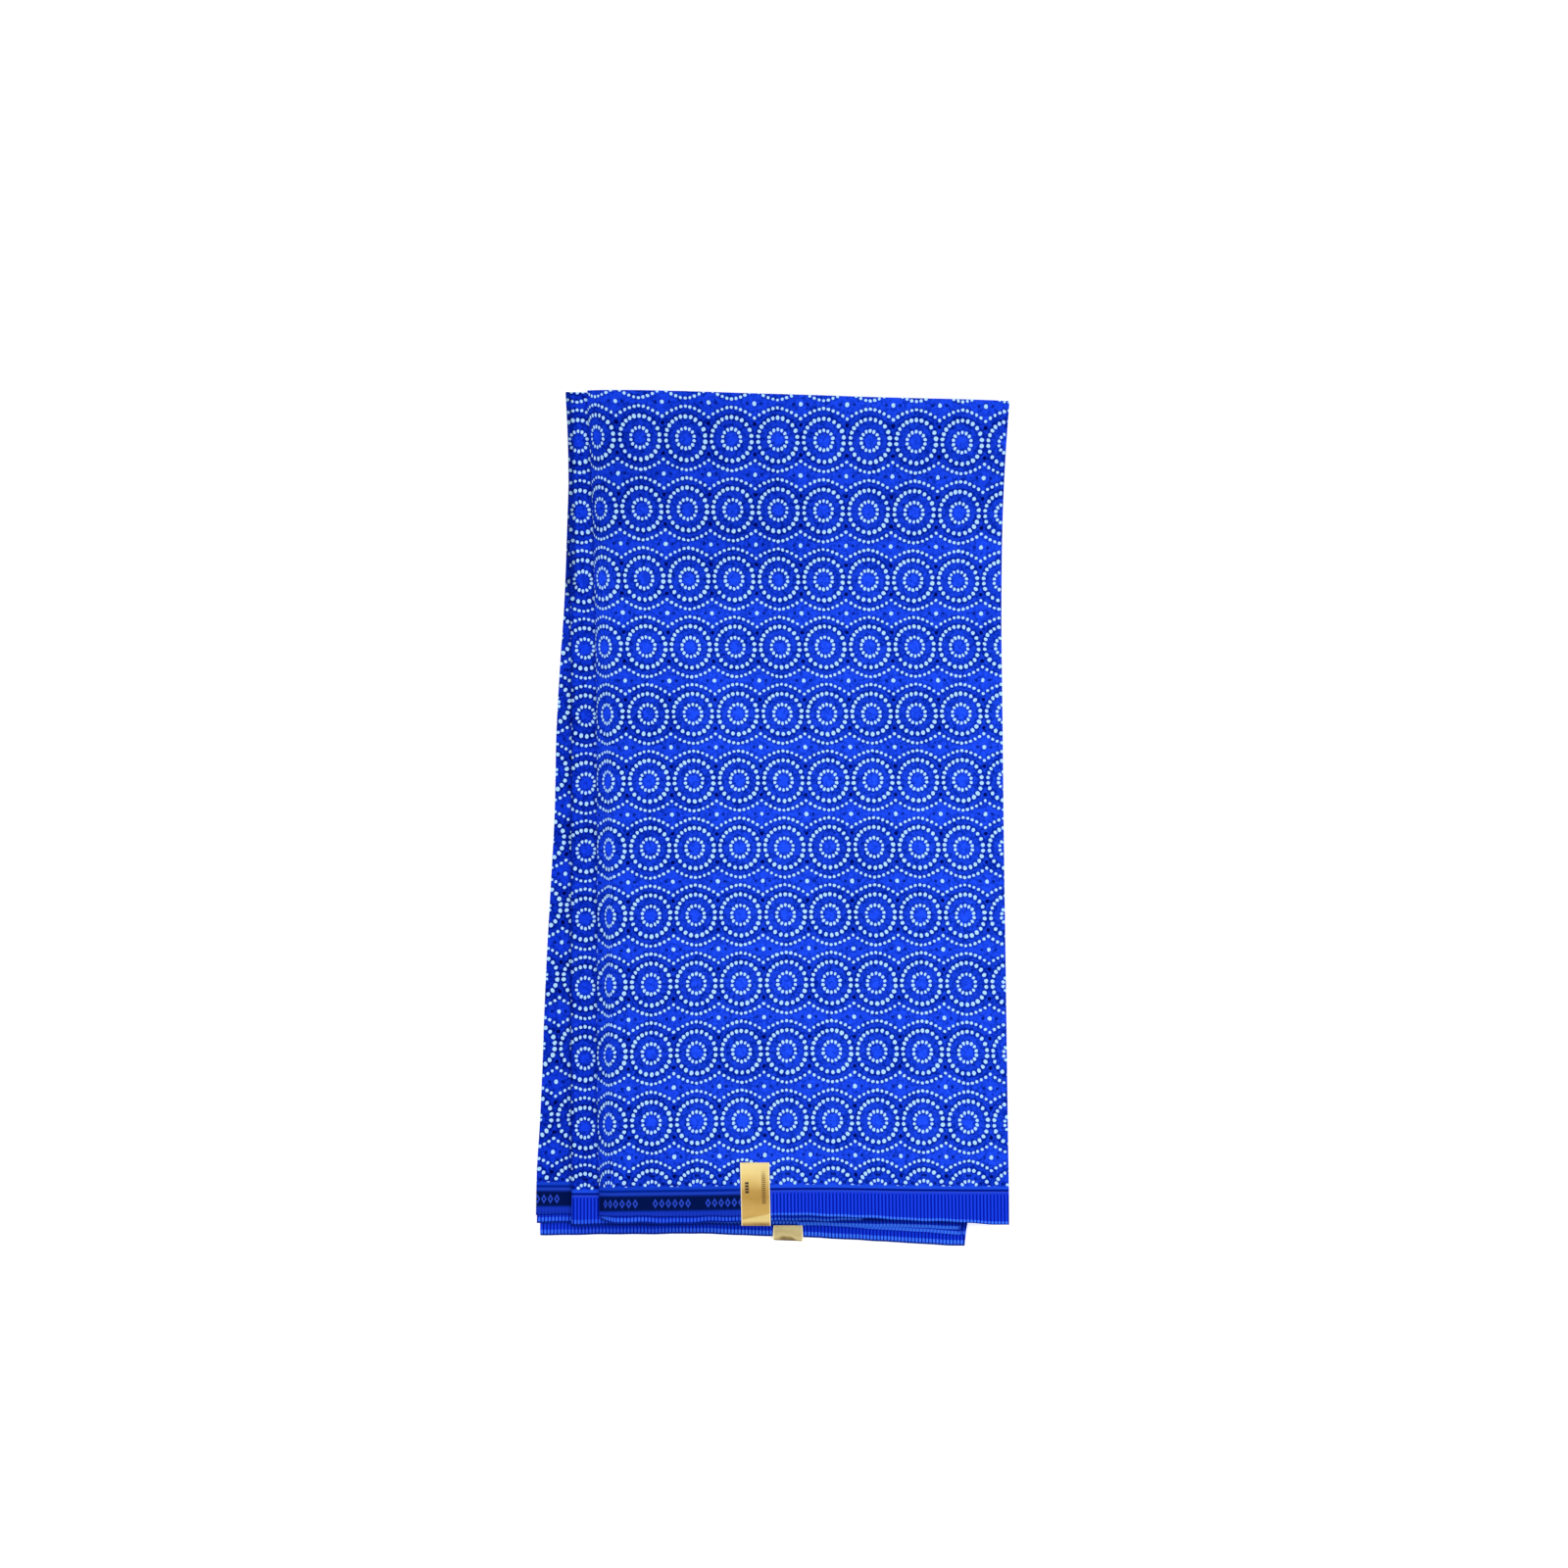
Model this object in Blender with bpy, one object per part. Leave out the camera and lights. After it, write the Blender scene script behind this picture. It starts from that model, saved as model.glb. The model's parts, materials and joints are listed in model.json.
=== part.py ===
"""A six-yard length of printed cotton, folded and laid flat.

The cloth was doubled along its middle, so that both selvedges lie at the hem and a fold lies at
the top, and was then folded to and fro into eighteen panels. Four stretches show: a front panel
that wraps round the pack, and three leaves that reach out from under it. The layers between them
are one solid. Two foil labels are folded over the hems.

Metres, +Z up. +Y runs up the cloth to the top fold, and the pack rests on z = 0.
"""

from collections import namedtuple

import bpy
import numpy as np

MM = 0.001

# Thicknesses and heights, in metres
PLY_PAIR = 1.2 * MM  # the doubled cloth of the front panel, both plies with the air between
LEAF = 2.4 * MM  # a doubled cloth folded once more, four plies
SEAM = 0.3 * MM  # the air between neighbouring pieces
CORE_AIR = 0.6 * MM  # the air between the front panel and the layers inside it
PACK = 11.0 * MM  # the front panel's wrap, from its under face to its top face
CROWN = 1.2 * MM  # how much higher the middle of the wrap stands
LEAF_LIFT = LEAF + SEAM
PACK_FOOT = 3 * LEAF_LIFT  # the wrap's under face

# The wrap's own shape
FOLD_REACH = 13.0 * MM  # how far the top rounds off to the left fold, seen from above
FOLD_NOSE = 2.5 * MM  # the fold's foremost line, above the wrap's under face
FOLD_TUCK = 4.0 * MM  # how far the fold rounds off underneath
HALF_WIDTH = 160 * MM
TOP_EASE = 60 * MM  # the stretch over which the wrap thins towards the top fold
TOP_DROP = 2.6 * MM
HEM_EASE = 30 * MM  # the stretch over which the front panel falls to its hem
OVERHANG_FROM = 130 * MM  # past this the wrap has no second leaf under it and sags
OVERHANG_TO = 166 * MM
OVERHANG_SAG = 3.0 * MM
RETURN_END = 131.5 * MM  # where the under part of the wrap ends, folded back to the leaf below
CORE_SHY = 2.0 * MM  # how far the hidden layers stop short of the front panel's right edge
CORE_FOLD_SHY = 5.0 * MM  # and of its left fold
CORE_HEM_SHY = 3.5 * MM
CORE_TOP_SHY = 2.5 * MM
CORE_FOLDS = 5

# How many stretches the grids have across and up the cloth
TOP_ACROSS = 14
UNDER_ACROSS = 8
CORE_ACROSS = 10
OVERHANG_ACROSS = 4
FOLD_ROUND = 7
TUCK_ROUND = 3
WRAP_UP = 24
LEAF_ACROSS = 7
LEAF_UP = 18
CROWDING = 0.8  # how strongly the wrap's lines crowd towards its hem and top

# Foil labels
FOIL = 0.5 * MM
LABEL_AIR = 0.4 * MM
LABEL_WIDTH = 20.5 * MM
LABEL_TUCK = 5.0 * MM  # how far the front label goes on under the hem

# Soft waves of the front panel: height, waves across the width, waves up the length, phase
WAVES = (
    {"height": 0.35 * MM, "across": 1.3, "along": 2.1, "phase": 0.6},
    {"height": 0.25 * MM, "across": -2.2, "along": 3.4, "phase": 2.4},
)

# Tables, in millimetres. Side: the left and right edges of a stretch at a height up the cloth.
# End: its hem and top fold at a place across. HemRow: how far the front panel's inner ply
# reaches below the outer one, how far its hem falls from the top of the wrap, and how far the
# part underneath stays above the outer hem. EdgeRow: a solid's edge profile, foot to top, as a
# share of its height, and how far in it lies along the folded sides, the hem and the top fold.
Side = namedtuple("Side", "up left right")
End = namedtuple("End", "across hem top")
HemRow = namedtuple("HemRow", "across inner_below fall under_above")
EdgeRow = namedtuple("EdgeRow", "share side_in hem_in top_in")
FRONT_SIDES = (
    Side(-286, -122.4, 165.3),
    Side(-263, -122.4, 165.1),
    Side(-218, -123.8, 164.8),
    Side(-114, -123.9, 163.3),
    Side(-18, -123.9, 161.8),
    Side(72, -124.3, 160.2),
    Side(148, -125.5, 159.6),
    Side(227, -127.6, 161.6),
    Side(265, -129.4, 163.6),
    Side(300, -131.1, 166.0),
)
FRONT_ENDS = (
    End(-131, -281.3, 299.9),
    End(-96, -281.0, 300.7),
    End(-53, -281.0, 299.6),
    End(-13, -280.8, 298.6),
    End(28, -281.0, 297.5),
    End(63, -281.3, 296.2),
    End(97, -283.0, 295.1),
    End(132, -284.8, 293.9),
    End(166, -286.3, 292.9),
)
FRONT_HEM = (
    HemRow(-131, 5.2, 3.6, 1.0),
    HemRow(-96, 5.0, 3.8, 1.0),
    HemRow(-53, 4.6, 3.6, 1.0),
    HemRow(-13, 3.6, 3.0, 1.0),
    HemRow(28, 2.0, 0.8, 1.2),
    HemRow(63, 1.0, 0.4, 1.6),
    HemRow(97, -0.8, 0.8, 2.0),
    HemRow(132, -1.2, 2.2, 2.0),
    HemRow(166, -1.2, 3.0, 2.0),
)
SECOND_SIDES = (
    Side(-288, -142.3, 127.7),
    Side(-218, -142.7, 128.2),
    Side(-18, -142.6, 128.6),
    Side(72, -142.2, 128.6),
    Side(148, -142.6, 128.6),
    Side(227, -143.8, 127.7),
    Side(265, -144.5, 126.7),
    Side(300, -146.2, 125.7),
)
SECOND_ENDS = (
    End(-146, -287.7, 299.7),
    End(-122, -287.8, 299.0),
    End(-53, -287.2, 298.0),
    End(28, -286.5, 296.0),
    End(97, -287.7, 293.4),
    End(128, -288.6, 292.2),
)
THIRD_SIDES = (
    Side(-290, -166.0, 135.3),
    Side(-253, -165.6, 135.6),
    Side(-232, -164.2, 135.8),
    Side(-190, -162.1, 136.0),
    Side(-149, -160.7, 136.0),
    Side(-107, -159.0, 136.0),
    Side(-56, -156.6, 136.0),
    Side(-4, -153.8, 136.0),
    Side(58, -152.4, 136.0),
    Side(100, -150.1, 136.0),
    Side(148, -146.9, 135.6),
    Side(203, -144.9, 135.0),
    Side(250, -143.4, 134.4),
    Side(298, -142.4, 134.0),
)
THIRD_ENDS = (
    End(-166, -285.8, 297.4),
    End(-142, -285.7, 297.2),
    End(-53, -285.5, 296.4),
    End(28, -286.0, 294.6),
    End(58, -288.7, 293.6),
    End(97, -290.1, 292.2),
    End(136, -293.1, 290.6),
)
BASE_SIDES = (
    Side(-300, -163.5, 135.2),
    Side(-286, -163.4, 137.0),
    Side(-268, -162.9, 137.8),
    Side(-232, -161.4, 137.8),
    Side(-107, -156.3, 137.8),
    Side(-4, -151.2, 137.8),
    Side(100, -147.4, 137.8),
    Side(203, -142.4, 137.0),
    Side(298, -139.4, 136.0),
)
BASE_ENDS = (
    End(-163, -293.3, 296.0),
    End(-122, -293.1, 295.8),
    End(-95, -292.8, 295.4),
    End(-61, -292.1, 294.8),
    End(-27, -292.9, 294.2),
    End(2, -294.1, 293.4),
    End(29, -295.1, 292.8),
    End(56, -296.5, 292.0),
    End(85, -298.2, 291.2),
    End(111, -299.6, 290.2),
    End(136, -300.7, 289.4),
)

# Two plies of a leaf show at its hem and at its top fold.
LEAF_EDGE = (
    EdgeRow(0.00, 1.0, 0.5, 0.6),
    EdgeRow(0.14, 0.4, 0.2, 0.2),
    EdgeRow(0.42, 0.0, 0.3, 0.1),
    EdgeRow(0.52, 0.0, 1.6, 0.7),
    EdgeRow(0.62, 0.0, 1.4, 0.1),
    EdgeRow(0.88, 0.4, 1.3, 0.2),
    EdgeRow(1.00, 1.0, 1.6, 0.6),
)
# The base leaf's upper ply is the longer one, and its foot is nearly square where it rests.
BASE_EDGE = (
    EdgeRow(0.00, 0.6, 0.8, 0.6),
    EdgeRow(0.14, 0.2, 0.5, 0.2),
    EdgeRow(0.42, 0.0, 0.5, 0.1),
    EdgeRow(0.52, 0.0, 0.8, 0.7),
    EdgeRow(0.62, 0.0, 0.2, 0.1),
    EdgeRow(0.88, 0.4, 0.0, 0.2),
    EdgeRow(1.00, 1.0, 0.2, 0.6),
)
# One fold of the hidden layers, whose share is a share of that fold's height
CORE_FOLD_EDGE = (
    EdgeRow(0.00, 1.5, 1.6, 1.5),
    EdgeRow(0.28, 0.1, 0.2, 0.1),
    EdgeRow(0.72, 0.1, 0.2, 0.1),
)

CLOTH_BLUE = (0.012, 0.065, 0.66)
FOIL_GOLD = (0.72, 0.49, 0.17)


def read_curve(table, place, value, at):
    """A table's value column read at places of its place column, as a smooth curve: cubic
    pieces whose slopes at the rows are the table's own. All in metres."""
    places = np.array([getattr(row, place) for row in table], float) * MM
    values = np.array([getattr(row, value) for row in table], float) * MM
    slopes = np.gradient(values, places)
    at = np.clip(at, places[0], places[-1])
    k = np.clip(np.searchsorted(places, at) - 1, 0, len(places) - 2)
    span = places[k + 1] - places[k]
    t = (at - places[k]) / span
    start = (2 * t**3 - 3 * t**2 + 1) * values[k] + (t**3 - 2 * t**2 + t) * span * slopes[k]
    end = (3 * t**2 - 2 * t**3) * values[k + 1] + (t**3 - t**2) * span * slopes[k + 1]
    return start + end


def ease(share):
    """0 to 1 with level ends."""
    share = np.clip(share, 0, 1)
    return share * share * (3 - 2 * share)


class Outline:
    """The plan of one stretch of cloth: curved sides, hem and top fold."""

    def __init__(self, sides, ends):
        self.sides, self.ends = sides, ends
        self.low = np.mean([row.hem for row in ends]) * MM
        self.high = np.mean([row.top for row in ends]) * MM

    def left(self, y):
        return read_curve(self.sides, "up", "left", y)

    def right(self, y):
        return read_curve(self.sides, "up", "right", y)

    def hem(self, x):
        return read_curve(self.ends, "across", "hem", x)

    def top(self, x):
        return read_curve(self.ends, "across", "top", x)

    def place(self, across, up, side_in=0.0, hem_in=0.0, top_in=0.0):
        """The plan point at shares across and up the stretch, with its edges drawn in."""
        level = self.low + (self.high - self.low) * up
        left = self.left(level) + side_in
        right = self.right(level) - side_in
        x = left + (right - left) * across
        hem = self.hem(x) + hem_in
        top = self.top(x) - top_in
        return x, hem + (top - hem) * up


FRONT = Outline(FRONT_SIDES, FRONT_ENDS)
SECOND = Outline(SECOND_SIDES, SECOND_ENDS)
THIRD = Outline(THIRD_SIDES, THIRD_ENDS)
BASE = Outline(BASE_SIDES, BASE_ENDS)


def front_hem(value, x):
    """A column of the front hem's table at x."""
    return read_curve(FRONT_HEM, "across", value, x)


def sag(x):
    """How far the wrap hangs down where no leaf carries it."""
    return OVERHANG_SAG * ease((x - OVERHANG_FROM) / (OVERHANG_TO - OVERHANG_FROM))


def wrap_top(x, y):
    """Height of the front panel's top face, but for the rounding of its left fold."""
    crown = CROWN * np.clip(1 - (x / HALF_WIDTH) ** 2, 0, 1)
    at_top = TOP_DROP * (1 - ease((FRONT.top(x) - y) / TOP_EASE))
    at_hem = front_hem("fall", x) * (1 - ease((y - FRONT.hem(x)) / HEM_EASE))
    waves = 0.0
    for wave in WAVES:
        turn = np.pi * (wave["across"] * x + wave["along"] * y) / HALF_WIDTH + wave["phase"]
        waves = waves + wave["height"] * np.sin(turn)
    return PACK_FOOT + PACK + crown + waves - at_top - at_hem - sag(x)


def wrap_foot(x):
    """Height of the wrap's under face."""
    return PACK_FOOT - sag(x)


def inside_wrap(x, y, inset):
    """Height of a face that lies inset inside the wrap's top face and its left fold: the fold
    is a quarter of an ellipse that stands on the nose."""
    nose = PACK_FOOT + FOLD_NOSE
    past = np.clip(FRONT.left(y) + FOLD_REACH - x, 0, None) / (FOLD_REACH - inset)
    return nose + (wrap_top(x, y) - inset - nose) * np.sqrt(np.clip(1 - past**2, 0, 1))


def new_object(name, points, faces, colour, roughness, metallic):
    """A named mesh object with its own material and its normals facing out."""
    mesh = bpy.data.meshes.new(name)
    mesh.from_pydata([tuple(p) for p in points], [], faces)
    mesh.update()
    material = bpy.data.materials.new(name)
    material.use_nodes = True
    shader = material.node_tree.nodes["Principled BSDF"]
    shader.inputs["Base Color"].default_value = (*colour, 1.0)
    shader.inputs["Roughness"].default_value = roughness
    shader.inputs["Metallic"].default_value = metallic
    mesh.materials.append(material)
    mesh.shade_smooth()
    mesh.set_sharp_from_angle(angle=np.radians(40))
    made = bpy.data.objects.new(name, mesh)
    bpy.context.scene.collection.objects.link(made)
    return made


def loft(sections):
    """Points and faces of a solid through closed loops. Point k of a loop pairs with its
    mirror k from the end, so a strip of faces between the pairs closes each end."""
    count, around = sections.shape[:2]
    points = sections.reshape(-1, 3)
    faces = []
    for i in range(count - 1):
        for k in range(around):
            after = (k + 1) % around
            a, b = i * around, (i + 1) * around
            faces.append((a + k, a + after, b + after, b + k))
    for start, flip in ((0, True), ((count - 1) * around, False)):
        for k in range((around - 1) // 2):
            pair = [start + k, start + k + 1, start + around - 2 - k, start + around - 1 - k]
            corners = list(dict.fromkeys(pair))
            faces.append(tuple(reversed(corners)) if flip else tuple(corners))
    return points, faces


def spaced(count, crowding=0.0):
    """Shares from 0 to 1, closer together at both ends where they crowd."""
    even = np.linspace(0, 1, count + 1)
    return (1 - crowding) * even + crowding * ease(even)


def stations(left, right, count):
    """Places from left to right, with count stretches up to the overhang and more on it."""
    carried = np.linspace(left, OVERHANG_FROM, count + 1)[:-1]
    return np.concatenate([carried, np.linspace(OVERHANG_FROM, right, OVERHANG_ACROSS + 1)])


def wrap_line(up, offset, below, top_in):
    """One line round the front panel's wall at a height share, from its top right edge round
    the left fold to the right end of the part underneath. It lies offset outside the middle
    of the wall, and ends below the outer hem and inside the top fold by the other two."""
    half = PLY_PAIR / 2
    level = FRONT.low + (FRONT.high - FRONT.low) * up
    left = FRONT.left(level)
    x_top = stations(left + FOLD_REACH, FRONT.right(level), TOP_ACROSS)[::-1]
    x_under = np.linspace(left + FOLD_TUCK, RETURN_END, UNDER_ACROSS + 1)
    over = np.linspace(0, np.pi / 2, FOLD_ROUND + 1)[1:]
    back = np.linspace(np.pi / 2, 0, TUCK_ROUND + 1)[1:-1]
    x_over = left + FOLD_REACH - (FOLD_REACH - half) * np.sin(over)
    x_back = left + FOLD_TUCK - (FOLD_TUCK - half) * np.sin(back)
    x = np.concatenate([x_top, x_over, x_back, x_under])
    flat = np.concatenate([0 * x_top, 0 * x_over, 0 * x_back + 0.5, 0 * x_under + 1])
    under = np.convolve(np.pad(flat, 2, mode="edge"), np.ones(5) / 5, mode="valid")
    above = front_hem("under_above", x) * under
    hem = FRONT.hem(x) + above - below * front_hem("inner_below", x) * (1 - under)
    y = hem + (FRONT.top(x) - top_in - hem) * up
    nose = PACK_FOOT + FOLD_NOSE
    z_top = wrap_top(x_top, y[: len(x_top)]) - half
    z_over = nose + (z_top[-1] - nose) * np.cos(over)
    z_back = nose - (FOLD_NOSE - half) * np.cos(back)
    z_under = wrap_foot(x_under) + half
    z = np.concatenate([z_top, z_over, z_back, z_under])
    step = np.stack([np.gradient(x), np.gradient(z)], axis=1)
    step /= np.linalg.norm(step, axis=1)[:, None]
    return np.stack([x + step[:, 1] * offset, y, z - step[:, 0] * offset], axis=1)


def front_panel():
    """The doubled cloth round the pack. Each station along the wrap is one closed loop: up the
    outer ply, over the top fold, down the inner ply and over the step between the two hems."""
    ups = spaced(WRAP_UP, CROWDING)
    half = PLY_PAIR / 2
    sliver = half / 20
    loops = [wrap_line(0, sliver, 0, half)]
    loops += [wrap_line(up, half, 0, half) for up in ups]
    loops += [wrap_line(1, 0, 0, 0)]
    loops += [wrap_line(up, -half, 1, half) for up in ups[::-1]]
    loops += [wrap_line(0, -sliver, 1, half)]
    points, faces = loft(np.array(loops).transpose(1, 0, 2))
    return new_object("front_panel", points, faces, CLOTH_BLUE, 0.6, 0.0)


def stack(name, outline, heights, edge, s_line, t_line, left_shy=0.0, right_shy=0.0):
    """A closed solid of layers. Its foot and top are grids over the outline, at the shares
    s_line across and t_line up, and rings of points, one for each row of the edge profile,
    join them. heights(x, y) gives the foot and top there."""
    across, up = len(s_line) - 1, len(t_line) - 1
    s_grid, t_grid = np.meshgrid(s_line, t_line, indexing="ij")
    rim = (
        [(i, 0) for i in range(across)]
        + [(across, j) for j in range(up)]
        + [(i, up) for i in range(across, 0, -1)]
        + [(0, j) for j in range(up, 0, -1)]
    )

    def layer(row):
        x, y = outline.place(s_grid, t_grid, row.side_in * MM, row.hem_in * MM, row.top_in * MM)
        x = x + left_shy * (1 - s_grid) - right_shy * s_grid
        foot, top = heights(x, y)
        return np.stack([x, y, foot + (top - foot) * row.share], axis=2)

    layers = [layer(row) for row in edge]
    size = (across + 1) * (up + 1)
    corner = np.arange(size).reshape(across + 1, up + 1)
    points = [layers[0].reshape(-1, 3), layers[-1].reshape(-1, 3)]
    faces = []
    for i in range(across):
        for j in range(up):
            quad = (corner[i, j], corner[i + 1, j], corner[i + 1, j + 1], corner[i, j + 1])
            faces.append(tuple(int(c) for c in reversed(quad)))
            faces.append(tuple(int(c) + size for c in quad))
    rings = [[int(corner[i, j]) for i, j in rim]]
    total = 2 * size
    for grid in layers[1:-1]:
        points.append(np.array([grid[i, j] for i, j in rim]))
        rings.append(list(range(total, total + len(rim))))
        total += len(rim)
    rings.append([int(corner[i, j]) + size for i, j in rim])
    for lower, upper in zip(rings, rings[1:]):
        for k in range(len(rim)):
            after = (k + 1) % len(rim)
            faces.append((lower[k], lower[after], upper[after], upper[k]))
    return new_object(name, np.concatenate(points), faces, CLOTH_BLUE, 0.6, 0.0)


def flat_leaf(name, outline, foot, edge):
    """One of the leaves under the wrap, level and four plies thick."""

    def heights(x, y):
        return 0 * x + foot, 0 * x + foot + LEAF

    return stack(name, outline, heights, edge, spaced(LEAF_ACROSS), spaced(LEAF_UP))


def hidden_layers():
    """The ten panels inside the wrap, with five folds showing round their edges."""
    core = Outline(
        FRONT_SIDES,
        [
            End(row.across, row.hem + CORE_HEM_SHY / MM, row.top - CORE_TOP_SHY / MM)
            for row in FRONT_ENDS
        ],
    )
    inset = PLY_PAIR + CORE_AIR

    def heights(x, y):
        return wrap_foot(x) + inset, inside_wrap(x, y, inset)

    edge = []
    for fold in range(CORE_FOLDS):
        for row in CORE_FOLD_EDGE:
            edge.append(row._replace(share=(fold + row.share) / CORE_FOLDS))
    edge.append(CORE_FOLD_EDGE[0]._replace(share=1.0))
    x = stations(core.left(0.0), core.right(0.0), CORE_ACROSS)
    s_line = (x - x[0]) / (x[-1] - x[0])
    return stack(
        "hidden_layers", core, heights, edge, s_line, spaced(WRAP_UP, CROWDING),
        left_shy=CORE_FOLD_SHY, right_shy=CORE_SHY,
    )


def foil_strip(name, path, centre, lean):
    """A foil label: a path in y and z, given for the strip's two long edges, with thickness.
    path(x) returns the middle line's points and lean turns the strip a little."""
    edges = []
    for side in (-0.5, -0.25, 0, 0.25, 0.5):
        x = centre + side * LABEL_WIDTH
        y, z = path(x)
        line = np.stack([y, z], axis=1)
        step = np.gradient(line, axis=0)
        step /= np.linalg.norm(step, axis=1)[:, None]
        normal = np.stack([step[:, 1], -step[:, 0]], axis=1)
        along = x - lean * (y - y[0])
        upper = line + normal * FOIL / 2
        lower = line - normal * FOIL / 2
        edges.append(
            np.concatenate(
                [
                    np.stack([along, upper[:, 0], upper[:, 1]], axis=1),
                    np.stack([along, lower[:, 0], lower[:, 1]], axis=1)[::-1],
                ]
            )
        )
    points, faces = loft(np.array(edges))
    return new_object(name, points, faces, FOIL_GOLD, 0.3, 0.9)


def front_label():
    """The label on the front panel. It follows the panel's top face, moved out by the seam,
    turns round both hems and goes on a little way underneath."""
    start, hem_nose = -242.7 * MM, -287.2 * MM
    off = LABEL_AIR + FOIL / 2
    turn_radius = PLY_PAIR / 2 + off

    def path(x):
        centre_y = hem_nose + turn_radius
        run = np.linspace(start, centre_y, 14)
        hem_z = wrap_top(x, FRONT.hem(x)) - PLY_PAIR / 2
        over = wrap_top(x, np.maximum(run, FRONT.hem(x))) + off
        turn = np.linspace(0, np.pi, 8)[1:-1]
        y_turn = centre_y - turn_radius * np.sin(turn)
        z_turn = hem_z + turn_radius * np.cos(turn)
        back = np.linspace(centre_y, centre_y + LABEL_TUCK, 4)
        under = wrap_top(x, np.maximum(back, FRONT.hem(x))) - PLY_PAIR - off
        return np.concatenate([run, y_turn, back]), np.concatenate([over, z_turn, under])

    return foil_strip("front_label", path, -12.7 * MM, 0.022)


def lower_label():
    """The label on the base leaf. It comes out from under the leaves, lies on the base leaf
    and turns down over its hem."""
    start = -287.2 * MM
    off = LABEL_AIR + FOIL / 2
    bend = 0.9 * MM

    def path(x):
        front = BASE.hem(x) - off - SEAM
        level = LEAF + off
        run = np.linspace(start, front + bend, 5)
        turn = np.linspace(0, np.pi / 2, 5)[1:-1]
        y_turn = front + bend - bend * np.sin(turn)
        z_turn = level - bend + bend * np.cos(turn)
        down = np.linspace(level - bend, FOIL, 3)
        y = np.concatenate([run, y_turn, 0 * down + front])
        return y, np.concatenate([0 * run + level, z_turn, down])

    return foil_strip("lower_label", path, 10.7 * MM, 0.0)


def build():
    """Clears the scene and makes every piece."""
    for old in list(bpy.data.objects):
        bpy.data.objects.remove(old)
    flat_leaf("base_leaf", BASE, 0.0, BASE_EDGE)
    flat_leaf("third_leaf", THIRD, LEAF_LIFT, LEAF_EDGE)
    flat_leaf("second_leaf", SECOND, 2 * LEAF_LIFT, LEAF_EDGE)
    hidden_layers()
    front_panel()
    front_label()
    lower_label()


build()
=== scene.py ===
"""The looks of a folded length of printed cotton: its doubled cloth, its dotted print and its
foil labels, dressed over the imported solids.

Metres, +Z up, in the frame's own axes: +Y runs up the cloth to its top fold, and z = 0 is the
surface that it lies on. Tables are in millimetres.
"""

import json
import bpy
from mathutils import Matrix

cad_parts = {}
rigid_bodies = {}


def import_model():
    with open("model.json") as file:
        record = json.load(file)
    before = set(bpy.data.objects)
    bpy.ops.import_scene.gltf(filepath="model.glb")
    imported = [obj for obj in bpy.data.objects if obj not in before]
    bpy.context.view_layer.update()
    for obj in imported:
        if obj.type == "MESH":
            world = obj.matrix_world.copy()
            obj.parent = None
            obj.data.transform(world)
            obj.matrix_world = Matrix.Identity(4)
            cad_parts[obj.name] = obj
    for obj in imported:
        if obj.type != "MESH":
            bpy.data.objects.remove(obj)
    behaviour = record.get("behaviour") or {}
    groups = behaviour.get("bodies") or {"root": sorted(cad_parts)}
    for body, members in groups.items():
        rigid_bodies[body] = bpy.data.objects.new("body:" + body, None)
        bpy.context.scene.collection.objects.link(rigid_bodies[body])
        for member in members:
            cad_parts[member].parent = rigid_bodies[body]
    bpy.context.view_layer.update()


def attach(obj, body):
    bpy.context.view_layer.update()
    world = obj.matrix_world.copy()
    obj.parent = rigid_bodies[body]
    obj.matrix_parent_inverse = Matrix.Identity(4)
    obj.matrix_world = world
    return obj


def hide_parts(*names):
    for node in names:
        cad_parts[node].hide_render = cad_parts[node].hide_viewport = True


bl_info = {
    "name": "Folded cotton length",
    "version": (1, 0, 0),
    "blender": (4, 5, 0),
    "location": "View3D > Sidebar > Cotton",
    "description": "Makes the cloth, the print and the labels of a folded cotton length",
    "category": "Object",
}

from collections import namedtuple

import bpy
import numpy as np
from bpy.props import FloatProperty, FloatVectorProperty, PointerProperty

for old in list(bpy.data.objects):
    bpy.data.objects.remove(old)
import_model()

MM = 0.001

# Heights and thicknesses of the pack, as its solids have them
WALL = 1.2 * MM  # the doubled cloth of the wrap
LEAF = 2.4 * MM  # a doubled cloth folded once more
LEAF_LIFT = 2.7 * MM  # from one leaf's foot to the next one's
PACK_FOOT = 3 * LEAF_LIFT
PACK = 11.0 * MM
CROWN = 1.2 * MM
HALF_WIDTH = 160 * MM
TOP_EASE = 60 * MM
TOP_DROP = 2.6 * MM
HEM_EASE = 30 * MM
OVERHANG = (130 * MM, 166 * MM)
OVERHANG_SAG = 3.0 * MM

# The front's left fold, and how the print lies on it
FOLD_REACH = 12.0 * MM
FOLD_NOSE = 1.0 * MM
FOLD_TUCK = 2.5 * MM
FOLD_PATH = 16.5 * MM  # along the fold from the flat to its nose
FOLD_POWER = 1.3  # of the fold's superellipse: 1 is a straight slope and 2 an ellipse
FOLD_CROWDING = 0.2  # how much closer the print lies on the fold than on the flat
FOLD_CROWDED = 4.3 * MM  # and how much more of it at the fold's nose
FOLD_CROWDED_POWER = 6  # how late on the fold that sets in
FOLD_GATHERS = 8.5 * MM  # from the flat to where the cloth has gathered all it does
FOLD_GIVES = 7.0 * MM  # and from there to where it lies smooth again

# The folds at the right edge
EDGE_ROUND = 0.8 * MM  # their radius
RETURN_FOLD = 131.0 * MM  # where the wrap's under part folds back into the second leaf
SECOND_FOLD = 131.8 * MM  # and each leaf into the one below it
THIRD_FOLD = 137.0 * MM
CUT_END = 137.6 * MM
NARROW = 2.2 * MM  # how much the two lowest leaves draw in at the right of their hems
NARROW_OVER = (-287.5 * MM, -297 * MM)

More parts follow.
